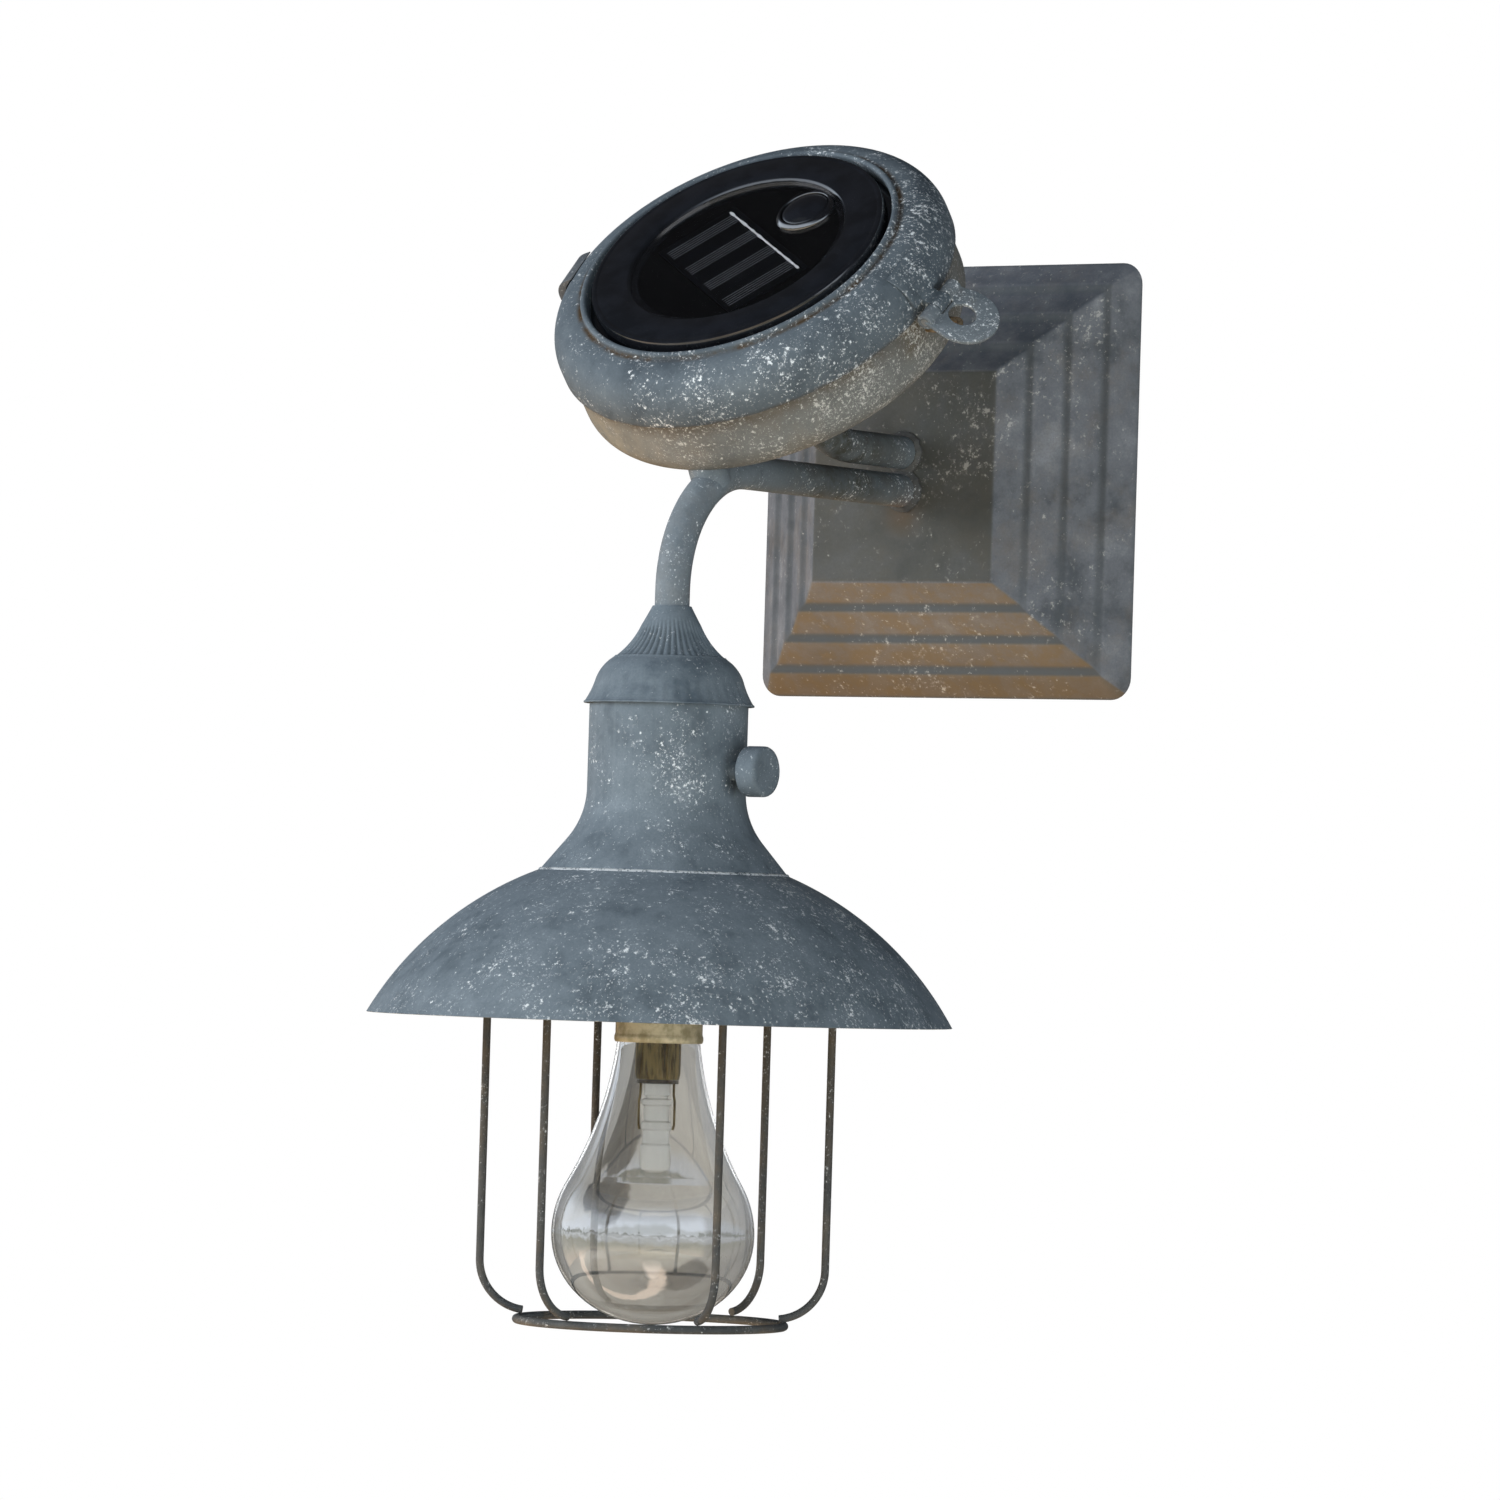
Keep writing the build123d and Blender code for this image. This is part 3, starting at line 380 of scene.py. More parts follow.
zincLook = {
    "deep": (0.092, 0.115, 0.134),
    "mid": (0.150, 0.182, 0.208),
    "pale": (0.200, 0.238, 0.266),
    "flake": (0.78, 0.81, 0.82),
    "stain": (0.20, 0.150, 0.095),
    "cloud": (34.0, 4.0, 0.6, 0.4),  # noises: scale, detail, roughness, distortion
    "blotch": (130.0, 5.0, 0.65),
    "grain": (1500.0, 2.0, 0.6),
    "cloudShare": 0.55,
    "blotchShare": 0.45,
    "toMid": (0.34, 0.52),  # spans: noise from and to, then the shares there
    "toPale": (0.50, 0.68),
    "grainDark": (0.30, 0.75, 0.0, 0.30),
    "streak": (1.0, 3.0, 0.6),
    "streakScale": (420, 420, 14),
    "streakSpan": (0.45, 0.7),
    "patch": (46.0, 5.0, 0.7),
    "patchShift": (0.3, 0.1, 0.2),
    "patchSpan": (0.46, 0.70),
    "markSpan": (0.32, 0.62, 0.35, 1.0),
    "ringSpan": (0.36, 0.60, 0.2, 1.0),
    "cluster": (70.0, 3.0, 0.7),
    "clusterShift": (0.11, 0.27, 0.05),
    "clusterShare": 0.40,
    "crumbs": (3.0, 0.62),  # detail and roughness, the scale is flakeScale
    "dust": (2.0, 0.55),
    "dustFiner": 2.1,
    "halo": (0.80, 0.92, 0.0, 0.24),
    "bigFlakes": (0.89, 0.94),
    "smallFlakes": (0.90, 0.96, 0.0, 0.7),
    "flakes": 0.0,  # more or fewer flakes all over
    "flakeLean": (0.0, 0.0, 0.0),  # flakes per metre along X, Y and Z
    "flakeAt": (0.0, -0.1575, -0.12),
    "flakeSpots": (),  # point, reach, amount
    "flakeScale": 820.0,
    "flakeShow": 0.88,
    "marks": (),  # point, reach, colour, amount
    "headRings": (),  # radius, height, reach, colour, amount about the solar head's axis
    "treads": 0.0,  # painted shade in the treads of the wall plate
    "panel": 0.0,  # painted shade, olive, on its flat middle
    "lower": 0.0,  # painted warm bounce light on its lower slopes
    "upper": 0.0,  # painted shade on its upper slopes
    "flutes": 0.0,  # darker in the grooves of the cap
    "stains": 0.0,
    "brushed": 0.0,
    "rough": 0.56,
    "roughSpan": (0.3, 0.7),
    "roughSpread": 0.08,
    "metal": 0.08,
    "shine": 0.1,
    "bump": 0.32,
    "bumpDeep": 0.00035,
    "grainBump": 0.35,
    "flakeBump": 0.5,
}

plateTintAndShadeLook = {
    "slopes": (0.0331, 0.0337),  # half widths, in metres
    "corner": 0.0006,
    "rim": (0.048, 0.0685),
    "rimShow": 0.55,
    "pitch": 0.009525,
    "pitchFrom": 0.0330,
    "tread": (0.0058, 0.0072, 0.0087, 0.0098),
    "firstTread": (0.036, 0.038),
    "belowMore": 0.35,
    "panelEdge": (0.0325, 0.0335),
    "unevenLight": (0.36, 0.60, 1.0, 0.55),
    "panelUnevenShade": (0.30, 0.66, 0.75, 1.0),
    "lowerTint": (0.172, 0.130, 0.078),
    "upperTint": (0.075, 0.086, 0.108),
    "rimTint": (0.105, 0.072, 0.036),
    "treadShadeTint": (0.066, 0.076, 0.082),
    "panelShadeTint": (0.058, 0.058, 0.046),
}


# tints on the wall plate: painted warm bounce light on the lower slopes, painted shade on the upper slopes,
# in the treads and on the flat middle, and darker brown towards the outer edge of the lower slopes
def plateTintAndShade(tree, coord, blotch, colour, zinc, look):
    across = addMath(tree, "ABSOLUTE", axisOf(tree, coord, "X"))
    up = axisOf(tree, coord, "Z")
    square = addMath(tree, "MAXIMUM", across, addMath(tree, "ABSOLUTE", up))
    slopes = addRange(tree, square, *look["slopes"])

    def quarterOf(side):
        lead = minus(tree, times(tree, up, side), across)
        return times(tree, addRange(tree, lead, -look["corner"], look["corner"]), slopes)

    def unevenLight(quarter, amount):
        uneven = times(tree, quarter, addRange(tree, blotch, *look["unevenLight"]))
        return times(tree, uneven, amount)

    below, above = quarterOf(-1.0), quarterOf(1.0)
    # painted warm bounce light on the lower slopes, made uneven by the blotch noise
    colour = addMix(tree, unevenLight(below, zinc["lower"]), colour, look["lowerTint"])
    rim = times(tree, below, addRange(tree, square, *look["rim"], 0.0, look["rimShow"]))
    colour = addMix(tree, rim, colour, look["rimTint"])
    # painted shade on the upper slopes
    colour = addMix(tree, unevenLight(above, zinc["upper"]), colour, look["upperTint"])
    # painted shade in the treads, stronger on the lower slopes
    stair = addMath(tree, "MODULO", minus(tree, square, look["pitchFrom"]), look["pitch"])
    fadeIn = addRange(tree, stair, *look["tread"][:2])
    fadeOut = addRange(tree, stair, *look["tread"][2:], 1.0, 0.0)
    band = times(tree, fadeIn, fadeOut)
    band = times(tree, band, addRange(tree, square, *look["firstTread"]))
    treadShadeAmount = plus(tree, times(tree, below, look["belowMore"]), zinc["treads"])
    colour = addMix(tree, times(tree, band, treadShadeAmount), colour, look["treadShadeTint"])
    # painted shade, olive, on the flat middle, made uneven by the blotch noise
    middle = addRange(tree, square, *look["panelEdge"], zinc["panel"], 0.0)
    middle = times(tree, middle, addRange(tree, blotch, *look["panelUnevenShade"]))
    return addMix(tree, middle, colour, look["panelShadeTint"])


def headDirtAndShade(tree, blotch, colour, zinc):
    # bands about the solar head's axis: brown lines on the lid, and on the can a band under the lid's skirt,
    # partly dirt and partly painted shade
    straight = objectCoord(tree, shift=headShift, turn=(-tilt, 0, 0))
    level = addVectorMath(tree, "MULTIPLY", straight, (1, 1, 0), "Vector")
    across = addVectorMath(tree, "LENGTH", level, (0, 0, 0))
    section = addNode(tree, "ShaderNodeCombineXYZ", {0: across, 1: axisOf(tree, straight, "Z")}).outputs[0]
    for radius, height, reach, tint, amount in zinc["headRings"]:
        band = nearPoint(tree, section, (radius, height, 0), reach)
        band = times(tree, band, addRange(tree, blotch, *zinc["ringSpan"]))
        colour = addMix(tree, times(tree, band, amount), colour, tint)
    return colour


fluteGrooveDarkLook = {
    "top": (-0.0545, -0.0520),
    "bottom": (-0.0630, -0.0622),
    "groove": (0.1, 1.0),
    "tint": (0.030, 0.038, 0.046),
}


def fluteGrooveDark(tree, colour, amount, look):
    coord = objectCoord(tree, shift=(0, lampReach * mm, 0))
    height = axisOf(tree, coord, "Z")
    turn = addMath(tree, "ARCTAN2", axisOf(tree, coord, "Y"), axisOf(tree, coord, "X"))
    wave = addMath(tree, "COSINE", times(tree, turn, float(capLook["flutes"])))
    span = addRange(tree, height, *look["top"], 1.0, 0.0)
    span = times(tree, span, addRange(tree, height, *look["bottom"]))
    groove = times(tree, addRange(tree, wave, *look["groove"]), span)
    return addMix(tree, times(tree, groove, amount), colour, look["tint"])


def zincFlakes(tree, coord, look):
    # flakes gather in clusters, and thicken along flakeLean and at flakeSpots
    cluster = addNoise(tree, objectCoord(tree, shift=look["clusterShift"]), *look["cluster"])
    crumbs = addNoise(tree, coord, look["flakeScale"], *look["crumbs"])
    dust = addNoise(tree, coord, look["flakeScale"] * look["dustFiner"], *look["dust"])
    centred = objectCoord(tree, shift=tuple(-v for v in look["flakeAt"]))
    lean = addVectorMath(tree, "DOT_PRODUCT", centred, look["flakeLean"])
    amount = plus(tree, times(tree, cluster, look["clusterShare"]), plus(tree, lean, look["flakes"]))
    for point, reach, extra in look["flakeSpots"]:
        amount = plus(tree, amount, times(tree, nearPoint(tree, coord, point, reach), extra))
    thick = plus(tree, crumbs, amount)
    halo = addRange(tree, thick, *look["halo"])
    big = addRange(tree, thick, *look["bigFlakes"])
    small = addRange(tree, plus(tree, dust, amount), *look["smallFlakes"])
    return addMath(tree, "MAXIMUM", addMath(tree, "MAXIMUM", big, small), halo)


def weatheredZinc(name, **changes):
    look = {**zincLook, **changes}
    values = {"Metallic": look["metal"], "Specular IOR Level": look["shine"]}
    material, tree, sockets = startMaterial(name, values)
    coord = objectCoord(tree)
    cloud = addNoise(tree, coord, *look["cloud"])
    grain = addNoise(tree, coord, *look["grain"])
    blotch = addNoise(tree, coord, *look["blotch"])
    tone = plus(tree, times(tree, cloud, look["cloudShare"]), times(tree, blotch, look["blotchShare"]))
    colour = addMix(tree, addRange(tree, tone, *look["toMid"]), look["deep"], look["mid"])
    colour = addMix(tree, addRange(tree, tone, *look["toPale"]), colour, look["pale"])
    colour = addMix(tree, addRange(tree, grain, *look["grainDark"]), colour, look["deep"])
    if look["brushed"]:
        streak = addNoise(tree, objectCoord(tree, scale=look["streakScale"]), *look["streak"])
        streak = addRange(tree, streak, *look["streakSpan"], 0.0, look["brushed"])
        colour = addMix(tree, streak, colour, look["pale"])
    if look["stains"]:
        patch = addNoise(tree, objectCoord(tree, shift=look["patchShift"]), *look["patch"])
        patch = addRange(tree, patch, *look["patchSpan"], 0.0, look["stains"])
        colour = addMix(tree, patch, colour, look["stain"])
    for point, reach, tint, amount in look["marks"]:
        ragged = addRange(tree, blotch, *look["markSpan"])
        ragged = times(tree, nearPoint(tree, coord, point, reach), ragged)
        colour = addMix(tree, times(tree, ragged, amount), colour, tint)
    if look["treads"]:
        colour = plateTintAndShade(tree, coord, blotch, colour, look, plateTintAndShadeLook)
    if look["headRings"]:
        colour = headDirtAndShade(tree, blotch, colour, look)
    if look["flutes"]:
        colour = fluteGrooveDark(tree, colour, look["flutes"], fluteGrooveDarkLook)
    flakes = zincFlakes(tree, coord, look)
    colour = addMix(tree, times(tree, flakes, look["flakeShow"]), colour, look["flake"])
    smoothest, roughest = look["rough"] - look["roughSpread"], look["rough"] + look["roughSpread"]
    rough = addRange(tree, tone, *look["roughSpan"], roughest, smoothest)
    height = plus(tree, times(tree, grain, look["grainBump"]), times(tree, flakes, look["flakeBump"]))
    tree.links.new(colour, sockets["Base Color"])
    tree.links.new(rough, sockets["Roughness"])
    tree.links.new(addBump(tree, height, look["bump"], look["bumpDeep"]), sockets["Normal"])
    return material


grainLook = {
    "cloud": (4.0, 0.6),
    "toLight": (0.35, 0.65),
    "roughSpan": (0.3, 0.7),
    "roughSpread": 0.05,
    "finer": 4,
    "fineDetail": 2.0,
    "bumpDeep": 0.0002,
    "coatRough": 0.05,
}


def grainyMaterial(name, dark, light, rough, metal=0.0, scale=300.0, bump=0.1, coat=0.0, shine=0.5,
                   coatIor=1.5, stretch=1.0):
    look, spread = grainLook, grainLook["roughSpread"]
    values = {"Metallic": metal, "Specular IOR Level": shine}
    values.update({"Coat Weight": coat, "Coat Roughness": look["coatRough"], "Coat IOR": coatIor})
    material, tree, sockets = startMaterial(name, values)
    coord = objectCoord(tree, scale=(1, 1, stretch))
    cloud = addNoise(tree, coord, scale, *look["cloud"])
    fine = addNoise(tree, coord, scale * look["finer"], look["fineDetail"])
    colour = addMix(tree, addRange(tree, cloud, *look["toLight"]), dark, light)
    uneven = addRange(tree, cloud, *look["roughSpan"], rough - spread, rough + spread)
    tree.links.new(colour, sockets["Base Color"])
    tree.links.new(uneven, sockets["Roughness"])
    tree.links.new(addBump(tree, fine, bump, look["bumpDeep"]), sockets["Normal"])
    return material


glassLook = {
    "ior": 1.45,
    "stretch": (1, 1, 0.35),
    "ripple": (45.0, 2.0),
    "roughSpan": (0.3, 0.7),
    "roughSpread": 0.02,
    "bumpDeep": 0.0006,
}


def clearMaterial(name, colour, rough, waves=0.0, coat=0.0, coatIor=1.5, milk=0.0, shine=0.5):
    look = glassLook
    values = {"Base Color": (*colour, 1), "Transmission Weight": 1.0 - milk, "IOR": look["ior"]}
    values.update({"Coat Weight": coat, "Coat Roughness": 0.0, "Coat IOR": coatIor})
    values["Specular IOR Level"] = shine
    material, tree, sockets = startMaterial(name, values)
    ripple = addNoise(tree, objectCoord(tree, scale=look["stretch"]), *look["ripple"])
    uneven = addRange(tree, ripple, *look["roughSpan"], rough, rough + look["roughSpread"])
    tree.links.new(uneven, sockets["Roughness"])
    if waves:
        normal = addBump(tree, ripple, waves, look["bumpDeep"])
        tree.links.new(normal, sockets["Normal"])
        tree.links.new(normal, sockets["Coat Normal"])
    return material


rust = (0.17, 0.085, 0.035)
# near-black tone for painted shadow
shadowTone = (0.012, 0.013, 0.013)
brownLine = (0.075, 0.050, 0.028)
armShade = (0.050, 0.047, 0.034)
wireBrown = (0.092, 0.064, 0.035)
canRust = (0.095, 0.062, 0.022)
# warm tone for a painted pool of bounce light
canWarmLight = (0.33, 0.28, 0.19)

domeZinc = weatheredZinc(
    "domeZinc", brushed=0.25, flakes=0.028, flakeLean=(0.3, 0.0, 0.0), flakeScale=660.0, flakeShow=0.8)
neckZinc = weatheredZinc(
    "neckZinc", brushed=0.25, flakes=0.005, flakeLean=(0.6, 0.0, 0.0),
    flakeSpots=(((0.021, -0.169, -0.099), 0.016, 0.05),),
    # a painted shadow under the knob's shaft
    marks=(((0.0245, -0.1590, -0.1005), 0.0050, shadowTone, 0.85),))
capZinc = weatheredZinc("capZinc", deep=(0.080, 0.103, 0.125), flakes=-0.01, flutes=0.08)
armZinc = weatheredZinc(
    "armZinc", deep=(0.104, 0.126, 0.145), mid=(0.168, 0.199, 0.224), pale=(0.222, 0.258, 0.284),
    flakes=0.02, stains=0.12,
    marks=(((0.0, -0.030, -0.012), 0.014, rust, 0.85), ((0.0, -0.068, 0.004), 0.062, armShade, 0.92)))
lidZinc = weatheredZinc(
    "lidZinc", deep=(0.068, 0.084, 0.098), mid=(0.108, 0.131, 0.150), pale=(0.143, 0.170, 0.190),
    flakes=0.036, flakeLean=(0.6, 0.0, 0.0), flakeScale=720.0,
    headRings=((0.0520, -0.0030, 0.0017, brownLine, 1.0), (0.0640, -0.0195, 0.0016, brownLine, 0.6)))
canZinc = weatheredZinc(
    "canZinc", deep=(0.128, 0.130, 0.124), mid=(0.180, 0.183, 0.174), pale=(0.234, 0.234, 0.217),
    flake=(0.68, 0.67, 0.62), flakes=0.05, flakeScale=900.0, flakeShow=0.7, flakeLean=(0.9, 0.0, 0.0),
    # under the lid's skirt the can gets a brown band that is partly dirt and partly painted shade
    flakeAt=(0.0, -0.11, 0.04), stains=0.3, headRings=((0.0620, -0.0210, 0.006, brownLine, 0.5),),
    # a rust spot, and a painted pool of warm bounce light low on the can's left side
    marks=((headPoint(62, -14, -24), 0.010, canRust, 0.8), (headPoint(62, 238, -32), 0.034, canWarmLight, 0.5)))
plateZinc = weatheredZinc(
    "plateZinc", deep=(0.078, 0.086, 0.096), mid=(0.140, 0.149, 0.165), pale=(0.212, 0.223, 0.240),
    flake=(0.66, 0.65, 0.60), flakeScale=420.0, flakeShow=0.36,
    flakeSpots=(((0.022, -0.0284, 0.016), 0.034, 0.07), ((0.056, -0.012, 0.045), 0.040, 0.05),
                ((0.0, -0.010, -0.058), 0.050, 0.05), ((0.058, -0.010, -0.040), 0.026, 0.05)),
    # painted shade in the treads, on the flat middle and on the upper slopes, and painted warm bounce light
    # on the lower slopes
    stains=0.22, treads=0.48, panel=0.75, lower=0.8, upper=0.5,
    # a rust spot at the arm's root, and painted shade around the roots of arm and strut
    marks=(((0.0, -0.0284, -0.0115), 0.010, rust, 0.85), ((0.0, -0.0284, 0.004), 0.022, shadowTone, 0.35)))
wireZinc = weatheredZinc(
    "wireZinc", deep=(0.043, 0.048, 0.052), mid=(0.070, 0.076, 0.079), pale=(0.100, 0.106, 0.106),
    flakes=0.02, flakeShow=0.6, stains=0.3, marks=(((0.0, -0.1575, -0.150), 0.140, wireBrown, 0.9),))
hardwareZinc = weatheredZinc(
    "hardwareZinc", deep=(0.100, 0.120, 0.137), mid=(0.160, 0.186, 0.206), pale=(0.212, 0.242, 0.263),
    flakes=0.065, stains=0.2)
hingeZinc = weatheredZinc(
    "hingeZinc", deep=(0.058, 0.066, 0.073), mid=(0.092, 0.102, 0.112), pale=(0.126, 0.138, 0.148),
    flakes=-0.02, stains=0.2)
weldZinc = weatheredZinc(
    "weldZinc", deep=(0.05, 0.053, 0.055), mid=(0.078, 0.08, 0.08), pale=(0.11, 0.11, 0.105),
    stains=0.5, stain=(0.11, 0.075, 0.045))
knobZinc = weatheredZinc("knobZinc", flakes=0.03)
# heavy whitish flakes paint the highlight along the seam bead
seamHighlight = weatheredZinc("seamHighlight", deep=(0.10, 0.12, 0.14), flakes=0.24, metal=0.4, rough=0.45)

steel = grainyMaterial("steel", (0.30, 0.30, 0.29), (0.44, 0.44, 0.43), 0.42, metal=0.6)
blackPlastic = grainyMaterial(
    "blackPlastic", (0.005, 0.0055, 0.007), (0.009, 0.010, 0.013), 0.22, scale=120.0, bump=0.004, coat=1.0,
    shine=0.2, coatIor=1.7)
bayBlack = grainyMaterial(
    "bayBlack", (0.0015, 0.0015, 0.0015), (0.003, 0.003, 0.003), 0.8, scale=500.0, bump=0.05, shine=0.02)
glossBlack = grainyMaterial(
    "glossBlack", (0.004, 0.004, 0.005), (0.008, 0.008, 0.009), 0.12, bump=0.01, coat=1.0, coatIor=2.2)
siliconDark = grainyMaterial(
    "siliconDark", (0.002, 0.0024, 0.0036), (0.004, 0.0046, 0.007), 0.5, scale=200.0, bump=0.02, shine=0.05)
silverLine = grainyMaterial("silverLine", (0.80, 0.80, 0.79), (0.97, 0.97, 0.96), 0.4, metal=0.1, scale=700.0)
fingerLine = grainyMaterial("fingerLine", (0.085, 0.088, 0.095), (0.15, 0.155, 0.165), 0.5, scale=700.0)
boardGreen = grainyMaterial("boardGreen", (0.02, 0.10, 0.04), (0.04, 0.16, 0.07), 0.4, scale=250.0)
batteryWrap = grainyMaterial(
    "batteryWrap", (0.08, 0.20, 0.34), (0.11, 0.25, 0.40), 0.25, scale=60.0, bump=0.02, coat=0.5)
darkRubber = grainyMaterial(
    "darkRubber", (0.012, 0.012, 0.012), (0.025, 0.025, 0.024), 0.7, scale=400.0, bump=0.15)
agedBrass = grainyMaterial(
    "agedBrass", (0.36, 0.31, 0.19), (0.62, 0.55, 0.38), 0.40, metal=0.35, scale=260.0, bump=0.2)
stemBrass = grainyMaterial(
    "stemBrass", (0.040, 0.028, 0.010), (0.34, 0.26, 0.11), 0.34, metal=0.4, scale=620.0, bump=0.5,
    stretch=0.12)
rustySteel = grainyMaterial(
    "rustySteel", (0.12, 0.075, 0.035), (0.34, 0.26, 0.17), 0.6, metal=0.1, scale=500.0, bump=0.3)
bulbClear = clearMaterial("bulbClear", (0.97, 0.98, 0.98), 0.0, waves=0.12, coat=1.0, coatIor=2.0)
guideClear = clearMaterial("guideClear", (0.98, 0.96, 0.90), 0.08, coat=1.0, milk=0.92)
windowClear = clearMaterial("windowClear", (0.85, 0.86, 0.88), 0.0, shine=0.2)
print("materials made")


# mesh helpers, outlines and paths in mm

lampBase = Matrix.Translation((0, -lampReach * mm, 0))


def moved(x, y, z):
    return Matrix.Translation((x * mm, y * mm, z * mm))


def turned(degrees, axis):
    return Matrix.Rotation(math.radians(degrees), 4, axis)


def finishPiece(name, mesh, material, body, nodes, angle=32.0):
    shell = bmesh.new()
    shell.from_mesh(mesh)
    bmesh.ops.remove_doubles(shell, verts=shell.verts, dist=1e-7)
    bmesh.ops.recalc_face_normals(shell, faces=shell.faces)
    shell.to_mesh(mesh)
    shell.free()
    mesh.validate()
    mesh.materials.clear()
    mesh.materials.append(material)
    mesh.shade_smooth()
    mesh.set_sharp_from_angle(angle=math.radians(angle))
    piece = addObject(name, mesh)
    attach(piece, body)
    if nodes:
        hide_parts(*nodes)


def meshFrom(name, points, faces):
    mesh = bpy.data.meshes.new(name)
    mesh.from_pydata([tuple(p) for p in points], [], faces)
    mesh.update()
    return mesh


def evaluatedMesh(holder):
    bpy.context.view_layer.update()
    graph = bpy.context.evaluated_depsgraph_get()
    return bpy.data.meshes.new_from_object(holder.evaluated_get(graph))


def joinMeshes(name, meshes):
    points, faces = [], []
    for mesh in meshes:
        base = len(points)
        points += [v.co.copy() for v in mesh.vertices]
        faces += [[base + v for v in p.vertices] for p in mesh.polygons]
    return meshFrom(name, points, faces)


def arcPoints(cx, cy, radius, start, end, steps):
    turns = [math.radians(start + (end - start) * k / steps) for k in range(steps + 1)]
    return [(cx + radius * math.cos(t), cy + radius * math.sin(t)) for t in turns]


def circleLoop(x, y, radius, steps, backwards=False):
    turns = [2 * math.pi * k / steps for k in range(steps)]
    loop = [(x + radius * math.cos(t), y + radius * math.sin(t)) for t in turns]
    return loop[::-1] if backwards else loop


def sagArc(start, end, sag, steps):
    # a line from start to end that sags to one side
    a, b = Vector(start), Vector(end)
    side = Vector((b.y - a.y, a.x - b.x)).normalized()
    shares = [k / steps for k in range(steps + 1)]
    return [tuple(a.lerp(b, t) - side * sag * 4 * t * (1 - t)) for t in shares]


def fromEdge(radius, level, offsets):
    # outline points given by how far they are from a radius and a level
    return [(radius + out, level + up) for out, up in offsets]


def spun(name, outline, base, segments, shape=None):
    # a closed outline of radius and height, turned about the base's Z; radius 0 becomes a pole
    points, rings = [], []
    for radius, height in outline:
        if radius < 1e-6:
            rings.append([len(points)] * segments)
            points.append(base @ Vector((0, 0, height * mm)))
            continue
        rings.append(range(len(points), len(points) + segments))
        for k in range(segments):
            turn = 2 * math.pi * k / segments
            r, h = shape(turn, radius, height) if shape else (radius, height)
            points.append(base @ Vector((r * math.cos(turn) * mm, r * math.sin(turn) * mm, h * mm)))
    faces = []
    for one, two in zip([rings[-1]] + rings, rings):
        for k in range(segments):
            after = (k + 1) % segments
            corners = [one[k], one[after], two[after], two[k]]
            face = [v for i, v in enumerate(corners) if v not in corners[:i]]
            if len(face) > 2:
                faces.append(face)
    return meshFrom(name, points, faces)


def spunPiece(name, outline, base, segments, material, body, nodes, angle=32.0, shape=None):
    finishPiece(name, spun(name, outline, base, segments, shape), material, body, nodes, angle)


def bentPath(points, radii, steps):
    # straight runs with a round bend of its own radius at each corner
    path = [Vector(points[0])]
    for k, radius in enumerate(radii):
        before, here, after = Vector(points[k]), Vector(points[k + 1]), Vector(points[k + 2])
        a, b = (before - here).normalized(), (after - here).normalized()
        half = a.angle(b) / 2
        reach = radius / math.tan(half)
        centre = here + (a + b).normalized() * (radius / math.sin(half))
        start, end = here + a * reach - centre, here + b * reach - centre
        axis, sweep = start.cross(end).normalized(), start.angle(end)
        for step in range(steps + 1):
            path.append(centre + Matrix.Rotation(sweep * step / steps, 3, axis) @ start)
    path.append(Vector(points[-1]))
    return path


def tubeMesh(name, path, radius, sides, edge, bore=0.0):
    # a pipe along a path with eased ends, hollow if bore is given
    last = len(path) - 1
    tangents = [(path[min(k + 1, last)] - path[max(k - 1, 0)]).normalized() for k in range(last + 1)]
    side = tangents[0].orthogonal().normalized()
    stations = []
    for k, point in enumerate(path):
        if k:
            side = tangents[k - 1].rotation_difference(tangents[k]) @ side
        stations.append((point, tangents[k], side.copy()))
    start, *middle, end = stations
    rows = [(*start, radius - edge), (start[0] + start[1] * edge, *start[1:], radius)]
    rows += [(*station, radius) for station in middle]
    rows += [(end[0] - end[1] * edge, *end[1:], radius), (*end, radius - edge)]
    if bore:
        rows += [(*end, bore)] + [(*station, bore) for station in reversed(middle)] + [(*start, bore)]
    points, faces = [], []
    for point, tangent, across, r in rows:
        other = tangent.cross(across)
        for k in range(sides):
            turn = 2 * math.pi * k / sides
            out = across * math.cos(turn) + other * math.sin(turn)
            points.append((point + out * r) * mm)
    for row in range(len(rows) if bore else len(rows) - 1):
        here, ahead = row * sides, (row + 1) % len(rows) * sides
        for k in range(sides):
            after = (k + 1) % sides
            faces.append([here + k, here + after, ahead + after, ahead + k])
    if not bore:
        faces.append(list(reversed(range(sides))))
        faces.append([(len(rows) - 1) * sides + k for k in range(sides)])
    return meshFrom(name, points, faces)


def platePiece(name, loops, thickness, edge, place):
    # flat outlines, the later ones holes, made a plate with eased edges
    curve = bpy.data.curves.new(name, "CURVE")
    curve.dimensions = "2D"
    curve.fill_mode = "BOTH"
    curve.extrude = (thickness / 2 - edge) * mm
    curve.bevel_depth = edge * mm
    curve.bevel_resolution = 2
    curve.offset = -edge * mm
    for loop in loops:
        spline = curve.splines.new("POLY")
        spline.points.add(len(loop) - 1)
        for point, (x, y) in zip(spline.points, loop):
            point.co = (x * mm, y * mm, 0, 1)
        spline.use_cyclic_u = True
    holder = addObject(name, curve)
    mesh = evaluatedMesh(holder)
    bpy.data.objects.remove(holder)
    mesh.transform(place)
    return mesh


# wall plate: rounded squares stacked out from the wall, hollow behind

plateLook = {
    "size": 137.0,
    "depth": 28.4,
    "panel": 66.0,
    "steps": 4,
    "tread": 2.6,
    "corner": 7.0,
    "cornerFade": 0.85,
    "cornerLeast": 1.0,
    "ease": 1.1,
    "easeShare": 0.45,  # most of a side that an eased edge may take
    "rimEase": (0.5, 0.35),
    "skin": 1.4,
    "behindInset": 0.4,
    "behindCorner": 6.0,
    "behindLeast": 0.6,
}


